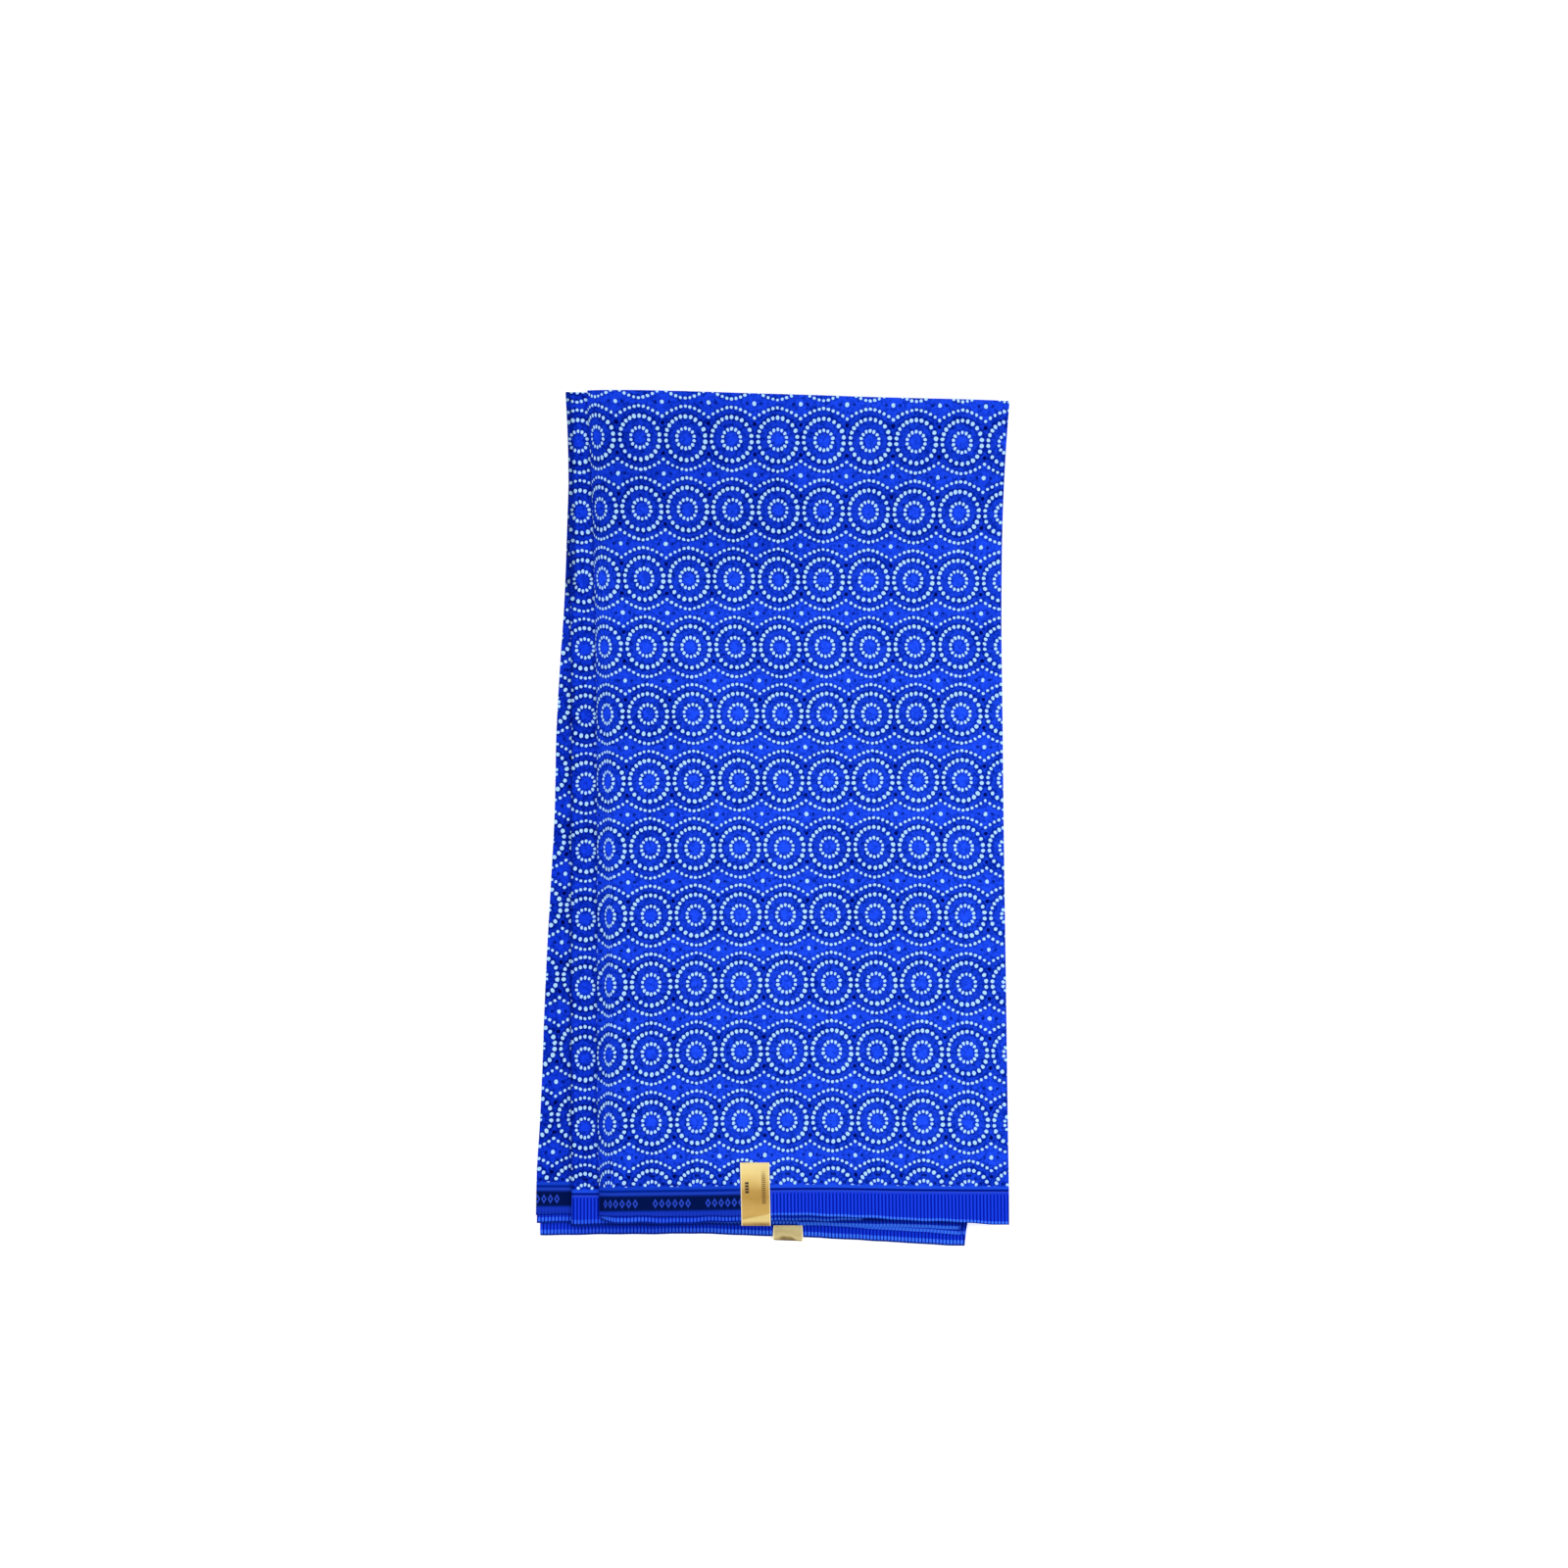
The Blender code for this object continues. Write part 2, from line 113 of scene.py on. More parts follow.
# Steps along each stretch of a cloth's path
QUARTER_STEPS = 5
RUN_STEPS = 104
FOLD_STEPS = 22
BACK_STEPS = 8
UNDER_STEPS = 30
LEAF_RUN_STEPS = 48
LEAF_RUN_POWER = 1.8  # a leaf's steps lie closer together towards its left fold
LEAF_FOLD_STEPS = 10
LEAF_BACK_STEPS = 20
PANEL_STEPS = 26
PANEL_TURN_STEPS = 6

# The leaves' plies
LEAF_GAP = 0.75  # of the front cloth's gap
LEAF_PLIES = (0.25, 0.75)  # where its two doubled cloths lie in a leaf's thickness
SHY_OUTER = 0.9 * MM  # how far a leaf's under plies stay above its hem
SHY_INNER = 0.5 * MM
SHY_STEPS = 12  # from the left fold, over which they draw back
INNER_SHOWS_LEFT = -100 * MM  # a leaf's inner ply shows fully left of here, and not right of 0

# The panels inside the wrap
PANELS = 10
CORE_AIR = 0.6 * MM
CORE_FOLD_SHY = 5.0 * MM
CORE_FOLD_LEAN = 6.0 * MM  # how much further in the highest panel's left fold lies
CORE_RIGHT_SHY = 2.0 * MM
CORE_HEM_SHY = 3.5 * MM
CORE_TOP_SHY = 2.5 * MM
PANEL_BEND = 0.7 * MM
PANEL_GAP = 0.16 * MM
PANEL_PLY = 0.24 * MM
PANEL_STAGGER = 0.8 * MM
PANEL_INNER = 1.2 * MM  # how far the inner ply's hem strays from the outer one's
# How far the waves of the panels' edges move on, in radians, from one panel to the next
PACE_SIDE, PACE_HEM, PACE_INNER, PACE_TOP = 1.7, 2.4, 1.9, 3.1

# The print's repeat, and what the hems show
REPEAT_ACROSS = 31.74 * MM
REPEAT_ALONG = 47.96 * MM
BAND_ENDS = 72.0 * MM  # along the front hem the printed band gives way to ribs here
TEETH_END = 146.0 * MM  # and the inner ply's teeth end here
LIP_FROM = 20.0 * MM  # right of this the upper leaves' hems show only a lip with short teeth

# A hem's trims, as its map holds them, and between which values of it each begins
PRINTED, RIBBED, LIPPED, LONG_TEETH, PLAIN = 0.0, 1.0, 1.25, 2.0, 3.0
RIBS_BEGIN = (0.4, 0.6)
LIP_BEGINS = (1.1, 1.2)
LONG_TEETH_BEGIN = (1.4, 1.6)
TEETH_STOP = (2.6, 2.4)

# Painted shade: how much darker the ground is near the front's top and at its left, and how much
# darker all of the cloth is near the top, above the lip of a leaf's hem, along the second leaf's
# left fold and on the front's inner ply. The leaves' ground is darker too.
HIGH = (0.400, 0.475)  # along the print
# Painted shade near the front's top: on the ground, and on all of the cloth
HIGH_GROUND_SHADE = 0.11
HIGH_SHADE = 0.07
HIGH_SHY = 6.0 * MM  # of the top fold, which the painted shade leaves out
HIGH_WEAKENS = (-60 * MM, 60 * MM)
HIGH_LOST = 0.62
# Painted shade on the ground at the front's left, away from the light
SIDE = (-35 * MM, -85 * MM)
SIDE_SHADE = 0.06
# How much darker the leaves' ground is
LEAF_DARKER_GROUND = 0.17
# Painted shade above the lip of an upper leaf's hem, in the gap under the front's hem
LIP_SHADE = 0.58
LIP_HEIGHT = 2.3 * MM
LIP_SOFT = 1.0 * MM
# Painted shade along the second leaf's left fold
CREASE_SHADE = 0.42
CREASE_WIDTH = 1.2 * MM
# Painted shade on the front's inner ply right of the printed band
INNER_PLY_SHADE = 0.40
INNER_SHADE = 25 * MM
FOLD_SHADE = 0.42  # painted shade of the upper leaves' left folds near the top
FOLD_SHADE_UP = (140 * MM, 165 * MM)
FOLD_SHADE_ASIDE = (5.5 * MM, 3.0 * MM)

# Labels
LABEL_WIDTH = 20.5 * MM
LABEL_LEAN = 0.022
FRONT_LABEL_AT = -12.7 * MM
LOWER_LABEL_AT = 10.7 * MM
LABELS_MEET = -287.2 * MM  # the front label's lowest edge, and where the lower one comes out


def table(columns, *rows):
    """A short table: its columns are named in one string, and each row is a tuple."""
    row = namedtuple("Row", columns)
    return tuple(row(*values) for values in rows)


# Two slow waves of the pack's top: how high, how many across and along, and their phase
WAVES = table("height across along phase", (0.35, 1.3, 2.1, 0.6), (0.25, -2.2, 3.4, 2.4))

# Small waves of a hem: how high, how long over a turn, and how the phase goes with a leaf's foot
HEM_WAVES = "height length phase by_foot"
FRONT_HEM_WAVES = table(HEM_WAVES, (0.22, 9.0, 0.0, 0), (0.15, 3.7, 1.0, 0))
LEAF_HEM_WAVES = table(HEM_WAVES, (0.25, 11.0, 0.0, 1), (0.12, 4.1, 0.0, 0))
FRONT_INNER_WAVES = 0.7  # how much more its inner ply's hem waves

# Sides: the left edge of a stretch at heights up the cloth, and the front's right edge. Ends: its
# hem and top fold at places across.
FRONT_SIDES = table(
    "up left right",
    (-286, -122.4, 166.5), (-263, -122.4, 166.3), (-218, -123.8, 165.6), (-114, -123.9, 164.2),
    (-18, -123.9, 162.8), (72, -124.3, 161.8), (148, -125.5, 161.0), (227, -127.6, 162.3),
    (265, -129.4, 164.3), (300, -131.1, 167.0),
)
FRONT_ENDS = table(
    "across hem top",
    (-131, -281.3, 300.7), (-96, -281.0, 300.7), (-53, -281.0, 299.7), (-13, -280.8, 298.4),
    (28, -280.5, 297.2), (63, -282.0, 296.0), (97, -283.7, 295.1), (132, -285.2, 294.3),
    (166, -286.8, 293.3),
)
SECOND_SIDES = table(
    "up left",
    (-288, -141.8), (-218, -142.1), (-18, -142.0), (72, -141.8), (148, -142.6), (227, -143.8),
    (265, -144.5), (300, -146.2),
)
SECOND_ENDS = table(
    "across hem top",
    (-146, -287.7, 299.7), (-122, -287.8, 299.0), (-53, -287.2, 298.0), (28, -287.5, 296.0),
    (97, -289.0, 293.4), (128, -289.9, 292.2),
)
THIRD_SIDES = table(
    "up left",
    (-290, -167.0), (-253, -166.1), (-232, -164.7), (-190, -162.6), (-149, -161.2),
    (-107, -159.4), (-56, -156.6), (-4, -153.8), (58, -152.4), (100, -150.1), (148, -146.9),
    (203, -144.9), (250, -143.4), (298, -142.4),
)
THIRD_ENDS = table(
    "across hem top",
    (-166, -285.8, 297.4), (-142, -285.7, 297.2), (-53, -285.5, 296.4), (28, -286.0, 294.6),
    (58, -289.2, 293.6), (97, -291.2, 292.2), (136, -294.7, 290.6),
)
BASE_SIDES = table(
    "up left",
    (-300, -164.0), (-286, -163.9), (-268, -162.9), (-232, -161.4), (-107, -156.3), (-4, -151.2),
    (100, -147.4), (203, -142.4), (298, -139.4),
)
BASE_ENDS = table(
    "across hem top",
    (-163, -294.2, 296.0), (-122, -294.1, 295.8), (-95, -293.6, 295.4), (-61, -293.5, 294.8),
    (-27, -294.1, 294.2), (2, -295.2, 293.4), (29, -296.3, 292.8), (56, -297.4, 292.0),
    (85, -299.6, 291.2), (111, -300.8, 290.2), (136, -302.0, 289.4),
)

# The front's hem: how far the inner ply reaches below the outer one, how far the hem falls, and
# how far the part underneath stays above it
FRONT_HEM = table(
    "across inner_below fall under_above",
    (-131, 5.2, 3.6, 1.0), (-96, 5.0, 3.8, 1.0), (-53, 4.6, 3.6, 1.0), (-13, 3.6, 3.0, 1.0),
    (28, 3.7, 0.8, 1.2), (63, 1.5, 0.4, 1.6), (97, -0.8, 0.8, 2.0), (132, -1.2, 2.2, 2.0),
    (166, -1.2, 3.0, 2.0),
)

# How much cloth the front's left fold gathers, at heights up it
FRONT_GATHERS = table(
    "up taken",
    (-262, 0.0), (-213, 2.0), (-165, 3.4), (-112, 4.2), (-62, 4.2), (-20, 3.4), (26, 2.6),
    (73, 1.9), (122, 0.3), (160, 0.0),
)

# Charts: where the print lies on a stretch. At a height up the cloth they give the way along the
# print from the selvedge's dark line, the middle of a column of rings, and the columns' pitch.
CHART = "up along column pitch"
FRONT_CHART = table(
    CHART,
    (-310, -47.4, -84.5, 31.90), (-262.6, 0.0, -85.1, 31.90), (-213, 49.5, -85.4, 31.86),
    (-160, 102.2, -85.6, 31.79), (-110, 151.9, -85.6, 31.68), (-60, 201.8, -85.9, 31.59),
    (-20.5, 241.4, -86.4, 31.55), (40, 303.1, -87.1, 31.46), (86, 350.5, -88.0, 31.47),
    (134, 399.4, -89.6, 31.48), (182, 447.2, -90.8, 31.60), (216.8, 481.2, -92.0, 31.91),
    (266.5, 529.1, -93.7, 32.41), (292, 553.9, -94.4, 32.60), (310, 571.5, -94.9, 32.66),
)
SECOND_CHART = table(
    CHART,
    (-310, -44.6, -132.3, 31.7), (-265.4, 0.0, -132.3, 31.7), (-217.3, 49.5, -132.3, 31.7),
    (-118.2, 145.5, -132.2, 31.7), (-22.1, 241.4, -131.8, 31.7), (73.2, 337.3, -131.6, 31.7),
    (168.1, 433.2, -133.7, 31.7), (266.5, 529.1, -137.0, 31.7), (310, 570.8, -138.4, 31.7),
)
THIRD_CHART = table(
    CHART,
    (-310, -50.0, -141.0, 31.7), (-260.0, 0.0, -140.2, 31.7), (-209.8, 49.5, -137.8, 31.7),
    (-159.6, 97.5, -135.7, 31.7), (-110.7, 145.5, -133.8, 31.7), (-62.0, 193.4, -131.5, 31.7),
    (-14.2, 241.4, -129.1, 31.7), (310, 565.6, -117.2, 31.7),
)
BASE_CHART = table(CHART, (-310, -41.0, -139.0, 31.7), (310, 579.0, -139.0, 31.7))

# The front hem's dark line, how far above it the print follows it, and how the rows of rings slant
FRONT_LINE = table(
    "across up",
    (-131, -263.7), (-120, -263.5), (-33, -262.3), (10, -261.4), (40, -261.3), (97, -262.2),
    (166, -262.6),
)
LINE_LEVEL = -262.6 * MM
LINE_REACH = 80 * MM
ROW_SLANT = 0.0152
SLANT_OVER = (-213 * MM, 266 * MM)
SLANT_MIDDLE = 35 * MM

# How much higher the front cloth's rows of rings lie than charted, at three places across
FRONT_BOW = table(
    "up left middle right",
    (-262, 0.0, 0.0, 0.0), (-239, -0.2, 0.4, -0.4), (-204, 0.0, 1.4, 0.0), (-156, 0.2, 2.1, 0.8),
    (-107, 0.5, 1.9, 1.1), (-59, 0.3, 1.7, 1.4), (-11, -0.4, 1.0, 1.6), (37, -0.2, 1.1, 2.1),
    (86, 0.0, 1.3, 2.7), (134, 0.2, 1.4, 2.9), (182, 0.4, 0.8, 1.1), (231, 0.1, 0.5, 0.4),
    (276, 0.7, 0.6, 0.6), (292, 1.2, 1.1, 1.8), (310, 1.4, 1.4, 2.4),
)
BOW_MIDDLE = 30 * MM
BOW_REACH = 115 * MM
BOW_ENDS = (-1.35, 1.25)  # in reaches from its middle, the bow is read no further out

# Soft creases of the front cloth: each is a ridge, or a trough where its height is below zero,
# along a straight line between two places
CREASES = table(
    "x0 y0 x1 y1 width height",
    (-118, 206, 158, 132, 11.0, 0.45), (-110, 120, -96, -60, 6.0, -0.22),
    (-104, -80, -108, -210, 5.0, 0.20), (-40, 262, 96, 240, 8.0, -0.25),
    (20, 296, 34, 232, 5.0, 0.22), (92, 290, 84, 246, 6.0, -0.20),
    (148, 190, 136, 70, 7.0, 0.22), (150, 20, 126, -110, 8.0, -0.25),
    (-60, 40, 60, -12, 9.0, 0.18), (-20, -90, 128, -132, 9.0, -0.20),
    (-92, -160, -20, -190, 7.0, 0.18), (60, -200, 74, -276, 6.0, 0.30),
    (118, -226, 122, -280, 7.0, -0.35), (-84, -248, -78, -282, 5.0, -0.25),
    (-48, -252, -52, -282, 5.0, 0.25),
)
CREASE_FADES = 0.3  # of its length, at each end


def read_curve(rows, place, value, at):
    """A table's value column read at places of its place column, as a smooth curve: cubic
    pieces whose slopes at the rows are the table's own. Table in millimetres, all else in
    metres."""
    places = np.array([getattr(row, place) for row in rows], float) * MM
    values = np.array([getattr(row, value) for row in rows], float) * MM
    slopes = np.gradient(values, places)
    at = np.clip(at, places[0], places[-1])
    k = np.clip(np.searchsorted(places, at) - 1, 0, len(places) - 2)
    span = places[k + 1] - places[k]
    t = (at - places[k]) / span
    start = (2 * t**3 - 3 * t**2 + 1) * values[k] + (t**3 - 2 * t**2 + t) * span * slopes[k]
    end = (3 * t**2 - 2 * t**3) * values[k + 1] + (t**3 - t**2) * span * slopes[k + 1]
    return start + end


def ease(share):
    """0 to 1 with level ends."""
    share = np.clip(share, 0, 1)
    return share * share * (3 - 2 * share)


def rise(value, start, end):
    """0 before start and 1 after end, with level ends. Start may be the higher."""
    return ease((value - start) / (end - start))


def spaced(count, crowding=0.0):
    """Shares from 0 to 1, closer together at both ends where they crowd."""
    even = np.linspace(0, 1, count + 1)
    return (1 - crowding) * even + crowding * ease(even)


def between(start, end, shares):
    """Places from start to end, each given for every row of a cloth, at shares of the way."""
    return start + (end - start) * shares[:, None]


def turned(start, end, steps):
    """Angles of a turn, one for each station of a cloth's path."""
    return np.linspace(start, end, steps + 1)[:, None]


def pairs(first, second):
    """Two values per point of a grid, as a UV map takes them."""
    return np.stack(np.broadcast_arrays(first, second), axis=-1)


class Outline:
    """The plan of one stretch of cloth: curved sides, hem and top fold."""

    def __init__(self, sides, ends):
        self.sides, self.ends = sides, ends
        self.low = np.mean([row.hem for row in ends]) * MM
        self.high = np.mean([row.top for row in ends]) * MM

    def left(self, y):
        return read_curve(self.sides, "up", "left", y)

    def right(self, y):
        return read_curve(self.sides, "up", "right", y)

    def hem(self, x):
        return read_curve(self.ends, "across", "hem", x)

    def top(self, x):
        return read_curve(self.ends, "across", "top", x)

    def level(self, share):
        return self.low + (self.high - self.low) * share


FRONT = Outline(FRONT_SIDES, FRONT_ENDS)
SECOND = Outline(SECOND_SIDES, SECOND_ENDS)
THIRD = Outline(THIRD_SIDES, THIRD_ENDS)
BASE = Outline(BASE_SIDES, BASE_ENDS)


def front_hem(value, x):
    """A column of the front hem's table at x."""
    return read_curve(FRONT_HEM, "across", value, x)


def sag(x):
    """How far the wrap hangs down where no leaf carries it."""
    return OVERHANG_SAG * rise(x, *OVERHANG)


def wrap_top(x, y):
    """Height of the wrap's top face: its foot and thickness, plus a crown and two slow waves,
    less a soft fall towards the top fold, the hem and the overhang."""
    crown = CROWN * np.clip(1 - (x / HALF_WIDTH) ** 2, 0, 1)
    at_top = TOP_DROP * rise(FRONT.top(x) - y, TOP_EASE, 0)
    at_hem = front_hem("fall", x) * rise(y - FRONT.hem(x), HEM_EASE, 0)
    waves = 0.0
    for wave in WAVES:
        angle = np.pi * (wave.across * x + wave.along * y) / HALF_WIDTH + wave.phase
        waves = waves + wave.height * MM * np.sin(angle)
    return PACK_FOOT + PACK + crown + waves - at_top - at_hem - sag(x)


def wrap_foot(x):
    """Height of the wrap's under face."""
    return PACK_FOOT - sag(x)


def hem_waves(waves, x, foot=0.0):
    """A hem's small waves at x: a sine for each row, shifted by the leaf's foot where it says."""
    total = 0.0
    for wave in waves:
        phase = wave.phase + wave.by_foot * foot / MM
        total = total + wave.height * MM * np.sin(x / (wave.length * MM) + phase)
    return total


def creased(x, y):
    """Height of all creases at a place: each is its height times a bell of the distance to its
    line, fading out towards the line's two ends."""
    total = 0.0
    for crease in CREASES:
        run = np.array([crease.x1 - crease.x0, crease.y1 - crease.y0]) * MM
        length = np.hypot(*run)
        across, up = x - crease.x0 * MM, y - crease.y0 * MM
        along = (across * run[0] + up * run[1]) / length**2
        off = (across * run[1] - up * run[0]) / length
        bell = np.exp(-((off / (crease.width * MM)) ** 2))
        fade = ease(along / CREASE_FADES) * ease((1 - along) / CREASE_FADES)
        total = total + crease.height * MM * bell * fade
    return total


class Rows:
    """The way up and down a doubled cloth: up the outer ply from its hem, a half turn over the
    top fold, and down the inner ply to its own hem."""

    def __init__(self, outer, inner, turn, crowding):
        up = spaced(outer, crowding)
        down = spaced(inner, crowding)[::-1]
        angle = np.linspace(0, np.pi, turn + 1)[1:-1]
        self.share = np.concatenate([up, 0 * angle + 1, down])
        self.angle = np.concatenate([0 * up, angle, 0 * down + np.pi])
        self.side = np.cos(self.angle)

    def climb(self, outer_hem, inner_hem, top, gap):
        """The y of every point, and how far it lies from its ply's cut edge."""
        hem = np.where(self.side > 0, outer_hem, inner_hem)
        y = hem + (top - gap - hem) * self.share + gap * np.sin(self.angle)
        return y, y - hem


def doubled(x, y, z, rows, gap):
    """A doubled cloth from its middle line: each point moves from the line by the gap, to its
    outer side on the outer ply and to its inner side on the inner one, square to the line in
    the plane across the cloth."""
    step = np.stack([np.gradient(x, axis=0), np.gradient(z, axis=0)])
    step /= np.linalg.norm(step, axis=0)
    offset = gap * rows.side
    return np.stack([x + step[1] * offset, y, z - step[0] * offset], axis=2)


def way_along(first, second, axis):
    """The length of a path from its start to each of its points, from two coordinates."""
    steps = np.hypot(np.diff(first, axis=axis), np.diff(second, axis=axis))
    return np.concatenate([0 * steps.take([0], axis), np.cumsum(steps, axis=axis)], axis=axis)


def print_place(x, y, z, chart, reference, crowding=0.0, crowded=0.0, gathered=0.0):
    """Where the print lies across it: the chart's columns up to the reference station and from
    there on the length of the cloth's own path, crowded a little on the fold and at its nose,
    with the gathered length taken up early on the fold and given back before its nose."""
    pitch = read_curve(chart, "up", "pitch", y)
    across = (x - read_curve(chart, "up", "column", y)) / pitch * REPEAT_ACROSS
    way = way_along(x, z, axis=0)
    past = way - way[reference]
    share = np.clip(past / FOLD_PATH, 0, 1)
    gives = rise(past, FOLD_GATHERS, FOLD_GATHERS + FOLD_GIVES)
    early = gathered * (ease(past / FOLD_GATHERS) - gives)
    past = past + crowding * share * FOLD_PATH + crowded * share**FOLD_CROWDED_POWER + early
    beyond = np.arange(len(x))[:, None] > reference
    return np.where(beyond, across[reference] - past, across)


def shell(name, middle, thickness, maps, material):
    """A closed thin shell: a surface moved half the thickness out along its own normal and
    half in, with strips that close its four edges. Each map is a pair of values per point."""
    step_i, step_j = np.gradient(middle, axis=(0, 1))
    normal = np.cross(step_i, step_j)
    normal /= np.linalg.norm(normal, axis=2)[..., None]
    sides = [middle + normal * thickness / 2, middle - normal * thickness / 2]
    points = np.concatenate([side.reshape(-1, 3) for side in sides])
    rows, columns = middle.shape[:2]
    size = rows * columns
    grid = np.arange(size).reshape(rows, columns)
    front = np.stack([grid[:-1, :-1], grid[1:, :-1], grid[1:, 1:], grid[:-1, 1:]], axis=2)
    front = front.reshape(-1, 4)
    back = front[:, ::-1] + size
    rim = np.concatenate([grid[:-1, 0], grid[-1, :-1], grid[:0:-1, -1], grid[0, :0:-1]])
    after = np.roll(rim, -1)
    edge = np.stack([after, rim, rim + size, after + size], axis=1)
    quads = np.concatenate([front, back, edge])
    mesh = bpy.data.meshes.new(name)
    mesh.vertices.add(len(points))
    mesh.vertices.foreach_set("co", points.astype(np.float32).ravel())
    mesh.loops.add(quads.size)
    mesh.loops.foreach_set("vertex_index", quads.astype(np.int32).ravel())
    mesh.polygons.add(len(quads))
    mesh.polygons.foreach_set("loop_start", np.arange(0, quads.size, 4, dtype=np.int32))
    for key, values in maps.items():
        layer = mesh.uv_layers.new(name=key)
        both = np.concatenate([values.reshape(-1, 2)] * 2)
        layer.data.foreach_set("uv", both[quads.ravel()].astype(np.float32).ravel())
    mesh.update(calc_edges=True)
    mesh.shade_smooth()
    mesh.set_sharp_from_angle(angle=np.radians(50))
    mesh.materials.append(material)
    made = bpy.data.objects.new(name, mesh)
    bpy.context.scene.collection.objects.link(made)
    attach(made, "root")
    return made


def front_line(rows, gap):
    """The middle line of the wrap at every row: a quarter turn at the right edge, the top run,
    the rounded left fold, the run underneath and a quarter turn down to the second leaf.
    Returns x, y, z, the distance to the cut edge and the top run's last station."""
    sizes = bpy.context.scene.cotton_sizes
    level = FRONT.level(rows.share)
    left = FRONT.left(level)
    right = FRONT.right(level) - gap - sizes.ply / 2
    half = WALL / 2
    quarter = turned(0, np.pi / 2, QUARTER_STEPS)[:-1]
    over = turned(0, np.pi / 2, FOLD_STEPS)[1:]
    back = turned(np.pi / 2, 0, BACK_STEPS)[1:-1]
    x_edge = right - EDGE_ROUND * (1 - np.cos(quarter))
    x_top = between(right - EDGE_ROUND, left + FOLD_REACH, spaced(RUN_STEPS))
    x_over = left + FOLD_REACH - (FOLD_REACH - half) * np.sin(over) ** (2 / FOLD_POWER)
    x_back = left + FOLD_TUCK - (FOLD_TUCK - half) * np.sin(back)
    x_under = between(left + FOLD_TUCK, RETURN_FOLD - EDGE_ROUND, spaced(UNDER_STEPS))
    x_turn = 0 * left + RETURN_FOLD - EDGE_ROUND * (1 - np.sin(quarter[1:]))
    x_end = 0 * left[None] + RETURN_FOLD
    blocks = [x_edge, x_top, x_over, x_back, x_under, x_turn, x_end]
    x = np.concatenate(blocks)
    starts = np.cumsum([len(block) for block in blocks])
    top = slice(starts[0], starts[1])
    under = rise(np.arange(len(x))[:, None], starts[1], starts[3])
    wave = hem_waves(FRONT_HEM_WAVES, x)
    hem = FRONT.hem(x) + front_hem("under_above", x) * under + wave
    inner = hem - front_hem("inner_below", x) * (1 - under) + wave * FRONT_INNER_WAVES
    y, to_edge = rows.climb(hem, inner, FRONT.top(x), gap)
    nose = PACK_FOOT + FOLD_NOSE
    z_top = wrap_top(x_top, y[top]) - half + creased(x_top, y[top])
    z_edge = z_top[0] - EDGE_ROUND * (1 - np.sin(quarter))
    z_over = nose + (z_top[-1] - nose) * np.clip(np.cos(over), 0, 1) ** (2 / FOLD_POWER)
    z_back = nose - (FOLD_NOSE - half) * np.cos(back) + 0 * left
    z_under = wrap_foot(x_under) + half
    z_turn = z_under[-1] - EDGE_ROUND * (1 - np.cos(quarter[1:]))
    z_end = z_under[-1:] - EDGE_ROUND
    z = np.concatenate([z_edge, z_top, z_over, z_back, z_under, z_turn, z_end])
    return x, y, z, to_edge, starts[1] - 1


def front_along(x, y):
    """The way along the print from the selvedge's line: the chart's rows, bent to the hem's
    line near the hem, slanted a little near the top and bowed by a parabola between."""
    line = read_curve(FRONT_LINE, "across", "up", x) - LINE_LEVEL
    near = rise(y - LINE_LEVEL, LINE_REACH, 0)
    slant = ROW_SLANT * rise(y, *SLANT_OVER)
    aside = np.clip((x - BOW_MIDDLE) / BOW_REACH, *BOW_ENDS)
    left, middle, right = (
        read_curve(FRONT_BOW, "up", place, y) for place in ("left", "middle", "right")
    )
    bow = middle + (right - left) / 2 * aside + ((left + right) / 2 - middle) * aside**2
    level = y - line * near + slant * (x - SLANT_MIDDLE) - bow
    return read_curve(FRONT_CHART, "up", "along", level)


def cotton_shell(name, node, middle, thickness, at, hem, dye):
    """A cotton cloth: a shell with three maps. They hold the place in the print, the trim and
    the distance from the cut edge, and how much darker the ground is, partly painted shade, and
    how much painted shade darkens all of the cloth."""
    maps = {"print": pairs(*at), "hem": pairs(*hem), "dye": pairs(*dye)}
    cloth = shell(name, middle, thickness, maps, printed_cotton())
    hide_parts(node)
    return cloth


def make_front_cloth():
    """The cloth on top, wrapped round the pack: a doubled wall from front_line, whose points
    move out by the gap between the plies."""
    sizes = bpy.context.scene.cotton_sizes
    rows = Rows(outer=150, inner=50, turn=8, crowding=0.55)
    x, y, z, to_edge, reference = front_line(rows, sizes.gap)
    taken = read_curve(FRONT_GATHERS, "up", "taken", y)
    across = print_place(x, y, z, FRONT_CHART, reference, FOLD_CROWDING, FOLD_CROWDED, taken)
    along = front_along(x, y)
    middle = doubled(x, y, z, rows, sizes.gap)
    outer = np.where(across < BAND_ENDS, PRINTED, RIBBED)
    inner = np.where(across < BAND_ENDS, LONG_TEETH, np.where(across < TEETH_END, RIBBED, PLAIN))
    trim = np.where(rows.side > 0, outer, inner)
    # Painted shade near the top and at the left, on the ground and on all of the cloth, and on the
    # inner ply right of the printed band
    high = rise(along, *HIGH) * rise(FRONT.top(x) - y, 0, HIGH_SHY)
    high = high * (1 - HIGH_LOST * rise(x, *HIGH_WEAKENS))
    dye = np.maximum(HIGH_GROUND_SHADE * high, SIDE_SHADE * rise(x, *SIDE))
    shaded = INNER_PLY_SHADE * (rows.side <= 0) * rise(across, BAND_ENDS, BAND_ENDS + INNER_SHADE)
    cloth = cotton_shell(
        "front_cloth", "front_panel", middle, sizes.ply,
        at=(across, along), hem=(trim, to_edge), dye=(dye, HIGH_SHADE * high + shaded),
    )
    return cloth


